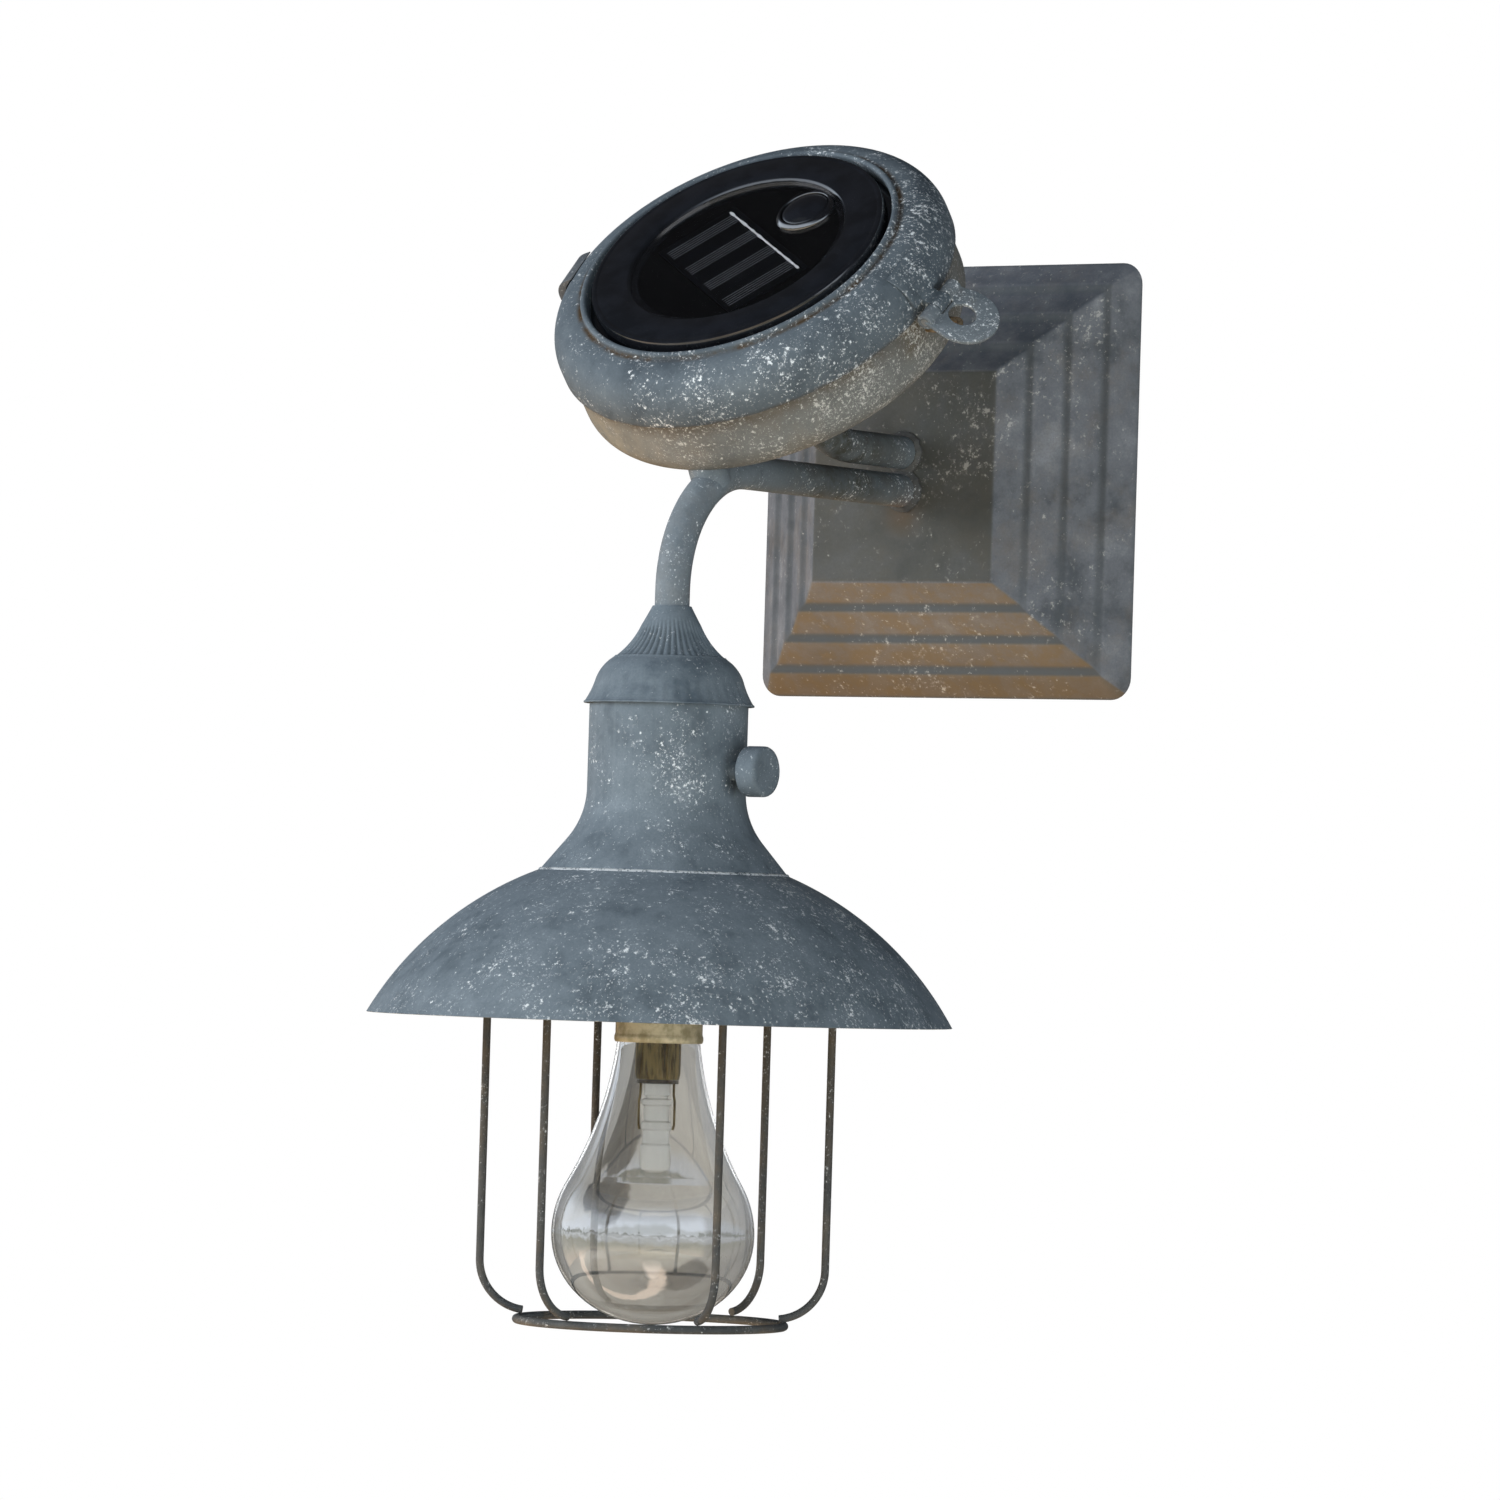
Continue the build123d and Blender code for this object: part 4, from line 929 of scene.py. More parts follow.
def makeWallPlate(look):
    outer, depth, skin = look["size"] / 2, look["depth"], look["skin"]
    rise = depth / look["steps"]
    run = ((look["size"] - look["panel"]) / 2 - (look["steps"] - 1) * look["tread"]) / look["steps"]
    half, outline = outer, []
    for step in range(look["steps"]):
        outline.append((half, step * rise))
        half -= run
        outline.append((half, (step + 1) * rise))
        half -= look["tread"]
    outline.append((0, depth))
    rows = [(outer - look["rimEase"][0], 0.0), (outer, look["rimEase"][1])]
    for before, here, after in zip(outline, outline[1:], outline[2:]):
        here = Vector(here)
        a, b = Vector(before) - here, Vector(after) - here
        reach = min(look["ease"], a.length * look["easeShare"], b.length * look["easeShare"])
        start, end = here + a.normalized() * reach, here + b.normalized() * reach
        for t in (0.0, 0.25, 0.5, 0.75, 1.0):
            rows.append(tuple((1 - t) ** 2 * start + 2 * t * (1 - t) * here + t * t * end))
    points = []

    def squareLoop(reach, level, corner):
        loop = []
        for quarter in range(4):
            cx = (reach - corner) * (1 if quarter in (0, 3) else -1)
            cz = (reach - corner) * (1 if quarter in (0, 1) else -1)
            for x, z in arcPoints(cx, cz, corner, quarter * 90, quarter * 90 + 90, 8):
                loop.append(len(points))
                points.append(Vector((x, -level, z)) * mm)
        return loop

    def cornerAt(reach):
        return max(look["cornerLeast"], look["corner"] - (outer - reach) * look["cornerFade"])

    front = [squareLoop(reach, level, cornerAt(reach)) for reach, level in rows]
    inset, least = look["behindInset"], look["behindLeast"]
    behind = [squareLoop(outer - skin - inset, 0.0, look["behindCorner"])]
    for reach, level in rows[2:]:
        if level - skin > inset:
            behind.append(squareLoop(reach, level - skin, max(least, cornerAt(reach) - inset)))
    loops = front[::-1] + behind
    faces = []
    for one, two in zip(loops, loops[1:]):
        count = len(one)
        for k in range(count):
            faces.append([one[k], two[k], two[(k + 1) % count], one[(k + 1) % count]])
    faces.append(loops[0])
    faces.append(loops[-1][::-1])
    mesh = meshFrom("wallPlate", points, faces)
    finishPiece("wallPlate", mesh, plateZinc, "lamp", ["wall_plate"], 40)


makeWallPlate(plateLook)


# arm and strut

canLook = {
    "radius": 62.0,
    "depth": 42.3,
    "corner": 10.0,
    "skin": 1.0,
    "rim": 11.0,
    "rimRound": 0.5,
    "rimOutside": 0.4,
    "rimInside": 0.6,
    "hole": 4.25,
}

armLook = {
    "radius": 5.25,
    "bore": 4.25,
    "sides": 32,
    "edge": 0.3,
    "start": -24.4,
    "armZ": -4.5,
    "armEnd": -80.0,
    "armBend": 38.0,
    "strutZ": 7.5,
    "strutRun": 77.5,
    "strutBend": 40.0,
}


def makeArm(look):
    start, reach = look["start"], lampReach
    armCorners = [(0, start, look["armZ"]), (0, -reach, look["armZ"]), (0, -reach, look["armEnd"])]
    canBack = (headBase @ Vector((0, 0, -canLook["depth"] * mm))) / mm
    strutCorners = [(0, start, look["strutZ"]), (0, -look["strutRun"], look["strutZ"]), canBack]
    pipe = (look["radius"], look["sides"], look["edge"], look["bore"])
    arm = tubeMesh("armTube", bentPath(armCorners, [look["armBend"]], 28), *pipe)
    finishPiece("armTube", arm, armZinc, "lamp", ["arm_tube"])
    strut = tubeMesh("solarStrut", bentPath(strutCorners, [look["strutBend"]], 20), *pipe)
    finishPiece("solarStrut", strut, armZinc, "lamp", ["solar_strut"])


makeArm(armLook)


# weld beads with a lumpy edge

weldLook = {
    "bore": 5.2,
    "bead": ((0, 0.02), (1.5, 0.02), (1.525, 0.75), (0.955, 1.35), (0.25, 1.9), (0, 1.9)),
    "lump": 0.22,
    "lumpScale": (4, 0.4),  # around the tube and along it
    "armSeed": 1.3,
    "strutSeed": 7.7,
    "canSeed": 3.1,
}


def makeWelds(look):
    outline = fromEdge(look["bore"], 0, look["bead"])
    around, along = look["lumpScale"]

    def bead(name, base, seed):
        def lumpy(turn, radius, height):
            spot = (math.cos(turn) * around + seed, math.sin(turn) * around, height * along)
            return radius + look["lump"] * noise.noise(Vector(spot)) * 2, height
        return spun(name, outline, base, 72, lumpy)

    beads = []
    for level, seed in ((armLook["armZ"], look["armSeed"]), (armLook["strutZ"], look["strutSeed"])):
        beads.append(bead("bead", moved(0, -plateLook["depth"], level) @ turned(90, "X"), seed))
    finishPiece("panelWeld", joinMeshes("panelWeld", beads), weldZinc, "lamp", ["panel_weld"])
    base = headBase @ moved(0, 0, -canLook["depth"]) @ turned(180, "X")
    finishPiece("canWeld", bead("canWeld", base, look["canSeed"]), weldZinc, "lamp", ["can_weld"])


makeWelds(weldLook)
print("plate and arm made")


# solar head: canister, lid ring, module

def makeCanister(look):
    r, d, c, s, rim = look["radius"], look["depth"], look["corner"], look["skin"], look["rim"]
    edge = look["rimRound"]
    outline = [(look["hole"], -d)] + arcPoints(r - c, c - d, c, -90, 0, 16)
    outline.append((r, -rim - look["rimOutside"]))
    outline += arcPoints(r - edge, -rim - edge, edge, 0, 180, 6)
    outline.append((r - s, -rim - look["rimInside"]))
    outline += arcPoints(r - c, c - d, c - s, 0, -90, 12) + [(look["hole"], s - d)]
    spunPiece("canister", outline, headBase, 192, canZinc, "lamp", ["solar_housing"])


makeCanister(canLook)

lidLook = {
    "radius": 63.98,
    "crown": 11.98,
    "crownDrop": 3.0,
    "bottom": -19.5,
    "skirtEdge": ((0, 0.4), (-0.2, 0.05), (-0.5, 0), (-0.8, 0.05)),
    "skirtInside": 0.3,
    "lip": 49.5,
    "lipWide": 2.0,
    "lipDrop": 1.2,
    "lipFoot": ((0, -2.6), (0.12, -2.92), (0.35, -3.05)),
    "lipInside": -4.1,
    "lipEnd": -5.9,
    "skin": 1.0,
}


def makeLid(look):
    r, c, s, lip = look["radius"], look["crown"], look["skin"], look["lip"]
    centre = (r - c, -look["crownDrop"] - c)
    lipOut = lip + look["lipWide"]
    outline = [(lip, look["lipEnd"])] + arcPoints(lip + 1, -1 - look["lipDrop"], 1, 180, 0, 10)
    outline += fromEdge(lipOut, 0, look["lipFoot"])
    outline += arcPoints(*centre, c, 90, 0, 26)
    outline += fromEdge(r, look["bottom"], (*look["skirtEdge"], (-s, look["skirtInside"])))
    outline += arcPoints(*centre, c - s, 0, 90, 18)
    outline += [(lipOut, look["lipInside"]), (lipOut, look["lipEnd"])]
    spunPiece("lidRing", outline, headBase, 192, lidZinc, "lid", ["lid_ring"], 38)


makeLid(lidLook)

moduleLook = {
    "rim": 47.3,
    "rimEdge": ((-2.2, 0.0), (-1.95, -0.12), (-1.7, 0.0), (-0.9, -0.05), (-0.3, -0.35), (0.0, -1.0),
                (0.0, -6.0)),
    "window": 34.6,
    "windowSeat": 32.6,
    "recess": ((0.05, -2.56), (0.05, -0.8), (0.28, -0.52), (0.53, -0.27), (0.8, -0.05), (1.0, 0.0)),
    "flange": 56.0,
    "flangeFrom": -6.0,
    "flangeTo": -9.0,
    "body": 46.5,
    "skin": 2.0,
    "top": -3.5,
    "depth": 31.0,
}


def makeModule(look):
    body, seat, inside = look["body"], look["windowSeat"], look["body"] - look["skin"]
    outline = [(seat, look["top"]), (seat, look["recess"][0][1])]
    outline += fromEdge(look["window"], 0.0, look["recess"])
    outline += fromEdge(look["rim"], 0.0, look["rimEdge"])
    outline += [(look["flange"], look["flangeFrom"]), (look["flange"], look["flangeTo"])]
    outline += [(body, look["flangeTo"]), (body, -look["depth"])]
    outline += [(inside, -look["depth"]), (inside, look["top"])]
    nodes = ["solar_frame"]
    spunPiece("moduleFrame", outline, headBase, 192, blackPlastic, "lamp", nodes, 30)


makeModule(moduleLook)

buttonLook = {
    "at": (15.1, 19.1),
    "bezel": 9.6,
    "bezelEdge": ((0, -2.55), (0, -1.1), (-0.36, -0.66), (-0.74, -0.24), (-1.1, 0.1), (-1.35, 0.25),
                  (-1.6, 0.2), (-1.8, -0.15), (-1.9, -0.7), (-1.9, -2.55)),
    "button": 7.6,
    "dome": ((0, 1.5), (1.5, 1.46), (3.0, 1.32), (4.6, 1.0), (6.0, 0.55), (7.0, 0.05), (7.45, -0.3)),
    "domeEdge": (-0.7, -1.2),
    "stem": 2.2,
    "stemEnd": -6.7,
}


def makeButton(look):
    base = headBase @ moved(*look["at"], 0)
    bezel = fromEdge(look["bezel"], 0, look["bezelEdge"])
    spunPiece("buttonBezel", bezel, base, 96, glossBlack, "lamp", ["button_bezel"], 60)
    r, stem, stemEnd, (edge, under) = look["button"], look["stem"], look["stemEnd"], look["domeEdge"]
    outline = [*look["dome"], (r, edge), (r, under), (stem, under), (stem, stemEnd), (0, stemEnd)]
    spunPiece("pushButton", outline, base, 96, blackPlastic, "push_button", ["button"], 40)


makeButton(buttonLook)


# cell: bright lines in groups, grown from one line, and a soldered bus

def startTree(name, inputs):
    tree = bpy.data.node_groups.new(name, "GeometryNodeTree")
    face = tree.interface
    face.new_socket("Geometry", in_out="INPUT", socket_type="NodeSocketGeometry")
    for socket, kind in inputs:
        face.new_socket(socket, in_out="INPUT", socket_type="NodeSocket" + kind)
    face.new_socket("Geometry", in_out="OUTPUT", socket_type="NodeSocketGeometry")
    return tree, addNode(tree, "NodeGroupInput").outputs


def endTree(tree, copies, shift, material):
    # copies are moved, made real and painted
    place = addNode(tree, "GeometryNodeTransform", {"Geometry": copies, "Translation": shift})
    solid = addNode(tree, "GeometryNodeRealizeInstances", {"Geometry": place.outputs["Geometry"]})
    links = {"Geometry": solid.outputs["Geometry"], "Material": material}
    paint = addNode(tree, "GeometryNodeSetMaterial", links)
    addNode(tree, "NodeGroupOutput", {"Geometry": paint.outputs["Geometry"]})
    return tree


def grown(name, tree, seedMesh, values):
    # runs a node tree on a seed mesh and keeps the result as a plain mesh
    holder = addObject(name, seedMesh)
    modifier = holder.modifiers.new("grow", "NODES")
    modifier.node_group = tree
    sockets = {item.name: item.identifier for item in tree.interface.items_tree if item.in_out == "INPUT"}
    for key, value in values.items():
        modifier[sockets[key]] = value
    mesh = evaluatedMesh(holder)
    holder.modifiers.remove(modifier)
    bpy.data.objects.remove(holder)
    return mesh


cellLook = {
    "middle": (-0.6, -3.1),
    "turn": -36.7,
    "width": 28.0,
    "edge": 2.5,  # from the bus to the edge of the cell
    "groups": 4,
    "pitch": 13.4,
    "lines": 5,
    "step": 1.2,
    "line": 0.28,
    "reach": 24.0,
    "level": -2.84,
    "thick": 0.12,
    "bus": 49.0,
    "busWide": 0.62,
    "busHigh": 0.14,
    "busSteps": 90,
    "solder": 1.5,
}


def fingerTree():
    sizes = (("Groups", "Int"), ("Pitch", "Float"), ("Lines", "Int"), ("Step", "Float"))
    places = (("Line Size", "Vector"), ("Line Shift", "Vector"), ("Material", "Material"))
    tree, given = startTree("cellFingers", sizes + places)

    def rowOf(count, step, thing):
        # copies along X, centred on the origin
        span = times(tree, times(tree, minus(tree, count, 1), -0.5), step)
        start = addNode(tree, "ShaderNodeCombineXYZ", {"X": span}).outputs[0]
        offset = addNode(tree, "ShaderNodeCombineXYZ", {"X": step}).outputs[0]
        links = {"Count": count, "Start Location": start, "Offset": offset}
        line = addNode(tree, "GeometryNodeMeshLine", links).outputs["Mesh"]
        copies = addNode(tree, "GeometryNodeInstanceOnPoints", {"Points": line, "Instance": thing})
        return copies.outputs["Instances"]

    finger = addNode(tree, "GeometryNodeMeshCube", {"Size": given["Line Size"]}).outputs["Mesh"]
    group = rowOf(given["Lines"], given["Step"], finger)
    groups = rowOf(given["Groups"], given["Pitch"], group)
    return endTree(tree, groups, given["Line Shift"], given["Material"])


def makeCell(look):
    base = headBase @ moved(*look["middle"], look["level"]) @ turned(look["turn"], "Z")
    edge = look["width"] / 2 - look["edge"]
    seed = meshFrom("cellSeed", [(0, 0, 0)], [])
    mesh = grown("cellFingers", fingerTree(), seed, {
        "Groups": look["groups"],
        "Pitch": look["pitch"] * mm,
        "Lines": look["lines"],
        "Step": look["step"] * mm,
        "Line Size": (look["line"] * mm, look["reach"] * mm, look["thick"] * mm),
        "Line Shift": (0, (edge - look["reach"] / 2) * mm, look["thick"] / 2 * mm),
        "Material": fingerLine,
    })
    mesh.transform(base)
    finishPiece("cellFingers", mesh, fingerLine, "lamp", ["cell_lines"])
    # the bus is a thin ribbon with uneven solder
    half, wide, high, steps = look["bus"] / 2, look["busWide"] / 2, look["busHigh"], look["busSteps"]
    points, faces = [], []
    for k in range(steps + 1):
        x = -half + 2 * half * k / steps
        lump = 1 + look["solder"] * max(0.0, noise.noise(Vector((x * 0.42, 3.3, 0))))
        w, h = wide * lump, high * lump
        for y, z in ((-w, 0), (-w * 0.7, h), (w * 0.7, h), (w, 0)):
            points.append(base @ Vector((x * mm, (edge + y) * mm, (0.01 + z) * mm)))
    for k in range(0, steps * 4, 4):
        for j in range(4):
            after = (j + 1) % 4
            faces.append([k + j, k + after, k + 4 + after, k + 4 + j])
    faces += [[3, 2, 1, 0], [steps * 4 + j for j in range(4)]]
    finishPiece("cellBus", meshFrom("cellBus", points, faces), silverLine, "lamp", [], 50)


makeCell(cellLook)
print("solar head made")


# hinge and hasp

hardwareLook = {
    "hingeTurn": 181.0,
    "hinge": (67.5, -20.5),
    "hingeSwell": 1.4,
    "haspTurn": -5.0,
    "hasp": (68.5, -18.5),
    "haspSwell": 0.0,
    "crown": (52.0, -15.0),
    "strapIn": 12.05,
    "strap": 1.3,
    "strapTip": 0.3,
    "strapWide": 14.0,
    "strapEase": 0.22,
    "thinning": 2.2,
    "swellShape": 1.5,
    "wrap": 58.0,
    "wrapSteps": 14,
    "webWrap": (24, 8),
    "webNeck": ((0.25, 0.9),),
    "webBrow": ((-2.1, 0.85), (-1.1, 0.2)),
    "webRoll": (90, -165),
    "webHeel": ((0.5, 0.2),),
    "webEase": 0.2,
    "knuckle": 2.6,
    "knuckleWide": 6.0,
    "knuckleGap": 0.3,
    "bore": 1.3,
    "tabWide": 18.5,
    "tabLong": 19.3,
    "tabTip": 10.6,
    "tabHole": 4.3,
    "tabHoleAt": 7.9,
    "tabThick": 1.4,
    "tabNotch": 2.9,
    "droop": 31.0,
    "stapleFrom": 62.05,
    "stapleOut": 10.5,
    "stapleHalf": 2.6,
    "stapleBend": 2.5,
    "stapleWire": 0.9,
}


def latchBase(turn):
    return headBase @ turned(turn, "Z")


def sectionPlace(turn):
    # outlines drawn as radius and height stand up in the latch's section
    return latchBase(turn) @ turned(90, "X")


def strapMesh(name, look, turn, pin, swell):
    cx, cy = look["crown"]
    px, py = pin
    inner, outer, tip, k = look["strapIn"], look["strapIn"] + look["strap"], look["strapTip"], look["knuckle"]
    steps, (high, low) = look["wrapSteps"], look["webWrap"]
    cover = arcPoints(cx, cy, inner, 0, look["wrap"], steps)
    for step in range(steps + 1):
        # thick at the knuckle, thin up the crown
        t = 1 - step / steps
        reach = inner + tip + (look["strap"] - tip) * (1 - t ** look["thinning"])
        reach += swell * math.sin(math.pi * t) ** look["swellShape"]
        up = math.radians(look["wrap"] * t)
        cover.append((cx + reach * math.cos(up), cy + reach * math.sin(up)))
    place = sectionPlace(turn)
    wide = platePiece(name + "Cover", [cover], look["strapWide"], look["strapEase"], place)
    loop = arcPoints(cx, cy, inner, 0, high, 5) + arcPoints(cx, cy, outer, high, low, 4)
    loop += fromEdge(cx + outer, cy, look["webNeck"]) + fromEdge(px, py + k, look["webBrow"])
    loop += arcPoints(px, py, k, *look["webRoll"], 26) + fromEdge(cx + inner, py, look["webHeel"])
    hole = circleLoop(px, py, look["bore"], 28, True)
    web = platePiece(name + "Web", [loop, hole], look["knuckleWide"], look["webEase"], place)
    return joinMeshes(name, [wide, web])


def makeTab(look, pin):
    place = sectionPlace(look["haspTurn"]) @ moved(*pin, 0) @ turned(-look["droop"], "Z") @ turned(-90, "X")
    w, tip, length, notch = look["tabWide"] / 2, look["tabTip"], look["tabLong"], look["tabNotch"]
    gap = look["knuckleWide"] / 2 + look["knuckleGap"]
    turn = 90 - math.degrees(math.atan2(w - tip, length - tip))
    loop = [(0.0, -w), *arcPoints(length - tip, 0, tip, -turn, turn, 22)]
    loop += [(0.0, w), (0.0, gap), (notch, gap), (notch, -gap), (0.0, -gap)]
    hole = circleLoop(look["tabHoleAt"], 0, look["tabHole"], 44, True)
    pieces = [platePiece("tabPlate", [loop, hole], look["tabThick"], 0.3, place)]
    ring = [circleLoop(0, 0, look["knuckle"], 36), circleLoop(0, 0, look["bore"], 28, True)]
    reach = (w - gap) / 2
    for side in (-1, 1):
        roll = place @ moved(0, side * (gap + reach), 0) @ turned(90, "X")
        pieces.append(platePiece("tabRoll", ring, reach * 2, 0.25, roll))
    finishPiece("haspTab", joinMeshes("haspTab", pieces), hardwareZinc, "hasp", ["hasp_tab"])


def makeHardware(look):
    hinge = strapMesh("hingeStrap", look, look["hingeTurn"], look["hinge"], look["hingeSwell"])
    finishPiece("hingeStrap", hinge, hingeZinc, "lid", ["hinge_strap"])
    hasp = strapMesh("haspStrap", look, look["haspTurn"], look["hasp"], look["haspSwell"])
    finishPiece("haspStrap", hasp, lidZinc, "lid", ["hasp_strap"])
    makeTab(look, look["hasp"])
    level, near, half = look["hasp"][1] - look["tabHoleAt"], look["stapleFrom"], look["stapleHalf"]
    far = near + look["stapleOut"]
    route = [(near, -half), (far, -half), (far, half), (near, half)]
    base = latchBase(look["haspTurn"])
    corners = [(base @ Vector((r * mm, t * mm, level * mm))) / mm for r, t in route]
    path = bentPath(corners, [look["stapleBend"], look["stapleBend"]], 10)
    staple = tubeMesh("haspStaple", path, look["stapleWire"], 18, 0.15)
    finishPiece("haspStaple", staple, rustySteel, "lamp", ["hasp_staple"])


makeHardware(hardwareLook)
print("hinge and hasp made")


# lamp head: fluted cap, neck, dome, knob

def makeCap(look):
    top, bore, skin = look["top"], look["bore"], look["skin"]

    def below(points):
        return [(radius, top - drop) for radius, drop in points]

    def arc(ends, steps):
        start, end, sag = ends
        return sagArc(*below((start, end)), sag, steps)

    outer = below(look["tip"]) + arc(look["crown"], 16) + below(look["step"])
    outer += arc(look["bell"], 14)[1:] + arc(look["skirt"], 8)[1:]
    inner = [(max(r - skin, bore), h - skin) for r, h in reversed(outer[1:])]
    inner = [p for p in inner if p[1] > top - look["insideEnd"]]
    fadeIn, fadeOut = look["fluteFade"]
    inwards, down = look["fluteCut"]

    def fluted(turn, radius, height):
        drop = top - height
        if look["fluteFrom"] < drop < look["fluteTo"] and radius > look["fluteLeast"]:
            fade = min(1.0, (drop - look["fluteFrom"]) / fadeIn, (look["fluteTo"] - drop) / fadeOut)
            wave = 0.5 + 0.5 * math.cos(turn * look["flutes"])
            cut = look["fluteDeep"] * fade * wave ** 2
            return radius - cut * inwards, height - cut * down
        if look["lipFrom"] < drop < look["lipTo"] and radius > look["lipLeast"]:
            fade = min(1.0, (drop - look["lipFrom"]) / look["lipFade"])
            wave = 0.5 + 0.5 * math.cos(turn * look["lipFlutes"])
            return radius - look["lipDeep"] * fade * wave, height
        return radius, height

    outline = outer + below(look["lip"]) + inner
    spunPiece("crownCap", outline, lampBase, 360, capZinc, "lamp", ["crown_cap"], 50, fluted)


makeCap(capLook)

neckLook = {
    "radius": 23.9,
    "bore": 5.3,
    "top": -73.0,
    "corner": 4.0,
    "wallRows": (8.0, 18.0),  # drops below the top
    "flareAt": -102.5,
    "flare": 24.0,
    "angle": 39.5,
    "coneSteps": 5,
    "seam": -127.3,
    "skin": 1.0,
}


def makeNeck(look):
    top, bottom, skin = look["top"], look["seam"], look["skin"]

    def wall(inset):
        r, c = look["radius"] - inset, look["corner"] - inset
        flareAt = (look["radius"] + look["flare"], look["flareAt"])
        bend = arcPoints(*flareAt, look["flare"] + inset, 180, 180 + look["angle"], 18)
        endR, endZ = bend[-1]
        spread = (endZ - bottom) * math.tan(math.radians(look["angle"]))
        steps, drop = look["coneSteps"], bottom - endZ
        cone = [(endR + spread * k / steps, endZ + drop * k / steps) for k in range(1, steps + 1)]
        shoulder = arcPoints(r - c, top - inset - c, c, 90, 0, 8)
        straight = [(r, top - down) for down in look["wallRows"]]
        return [(look["bore"], top - inset), *shoulder, *straight, *bend, *cone]

    outline = wall(0) + wall(skin)[::-1]
    spunPiece("lampNeck", outline, lampBase, 160, neckZinc, "lamp", ["lamp_neck"], 40)


makeNeck(neckLook)

domeLook = {
    "seam": (37.2404, -127.3),
    "rim": (88.0, -171.6),
    "skin": 1.0,
    "rimEdge": ((-0.02, 0.12), (-0.25, 0.0), (-0.8, 0.0)),
    "rimTrim": (0.25, 0.3),  # degrees that the outer and inner face stop short of the rim
    "seamGap": 0.05,
    "bead": ((-0.5, 0.45), (-0.1, 0.5), (0.22, 0.28), (0.5, -0.05), (0.55, -0.38), (0.1, -0.3)),
    "beadScale": 9,
    "beadLift": (0.14, 0.1),
}


def makeDome(look):
    (sr, sz), (rr, rz) = look["seam"], look["rim"]
    centre = (rr ** 2 + rz ** 2 - sr ** 2 - sz ** 2) / (2 * (rz - sz))
    radius = math.hypot(sr, sz - centre)
    inside = radius - look["skin"]
    seamTurn = math.degrees(math.atan2(sz - centre, sr + look["seamGap"]))
    rimTurn = math.degrees(math.atan2(rz - centre, rr))
    insideTurn = math.degrees(math.asin((rz - centre) / inside))
    outerTrim, innerTrim = look["rimTrim"]
    outline = arcPoints(0, centre, radius, seamTurn, rimTurn + outerTrim, 44)
    outline += fromEdge(rr, rz, look["rimEdge"])
    outline += arcPoints(0, centre, inside, insideTurn + innerTrim, seamTurn, 36)
    spunPiece("domeShade", outline, lampBase, 224, domeZinc, "lamp", ["shade"], 40)
    scale, (out, up) = look["beadScale"], look["beadLift"]

    def uneven(turn, r, h):
        lift = noise.noise(Vector((math.cos(turn) * scale, math.sin(turn) * scale, h)))
        return r + out * lift, h + up * lift

    # the thin bright seam where neck and dome meet: the bead is real, its whiteness a painted highlight
    bead = fromEdge(sr, sz, look["bead"])
    spunPiece("seamBead", bead, lampBase, 224, seamHighlight, "lamp", [], 60, uneven)


makeDome(domeLook)

knobLook = {
    "at": -96.5,
    "inner": 29.0,
    "wide": 7.0,
    "radius": 7.6,
    "front": ((-2.2, -0.05), (-1.5, -0.02), (-0.9, -0.1), (-0.35, -0.45), (-0.06, -1.0), (0.0, -1.6)),
    "back": ((0.0, 0.6), (-0.15, 0.2), (-0.5, 0.0)),
    "middleDip": 0.05,
    "shaft": 2.9,
    "shaftFrom": 20.6,
    "shaftTo": 33.9,
    "shaftEase": (0.2, 0.3),  # across the end and along the shaft
    "shaftIn": 2.0,
    "slack": 0.05,
}


def makeKnob(look):
    base = lampBase @ moved(0, 0, look["at"]) @ turned(90, "Y")
    back, r, s = look["inner"], look["radius"], look["shaft"]
    front = back + look["wide"]
    deep, hole = front - look["shaftIn"], s + look["slack"]
    outline = [(0, front - look["middleDip"])]
    outline += fromEdge(r, front, look["front"]) + fromEdge(r, back, look["back"])
    outline += [(hole, back), (hole, deep), (0, deep)]
    spunPiece("turnKnob", outline, base, 96, knobZinc, "turn_knob", ["knob"], 50)
    across, along = look["shaftEase"]
    outline = fromEdge(s, look["shaftFrom"], ((-s, 0), (-across, 0), (0, along)))
    outline += fromEdge(s, look["shaftTo"], ((0, -along), (-across, 0), (-s, 0)))
    spunPiece("knobShaft", outline, base, 48, knobZinc, "turn_knob", ["knob_shaft"], 40)


makeKnob(knobLook)
print("lamp head made")


# guard: six bent wires on a ring, grown from one wire

guardLook = {
    "count": 6,
    "turn": -5.5,
    "wire": 1.2,
    "top": -136.6,
    "reach": 52.5,
    "bend": 15.0,
    "endAngle": 84.0,
    "ring": 40.2,
    "ringWire": 1.29,
    "ringAt": -262.3,
    "gap": 0.05,
    "rows": 8,
}


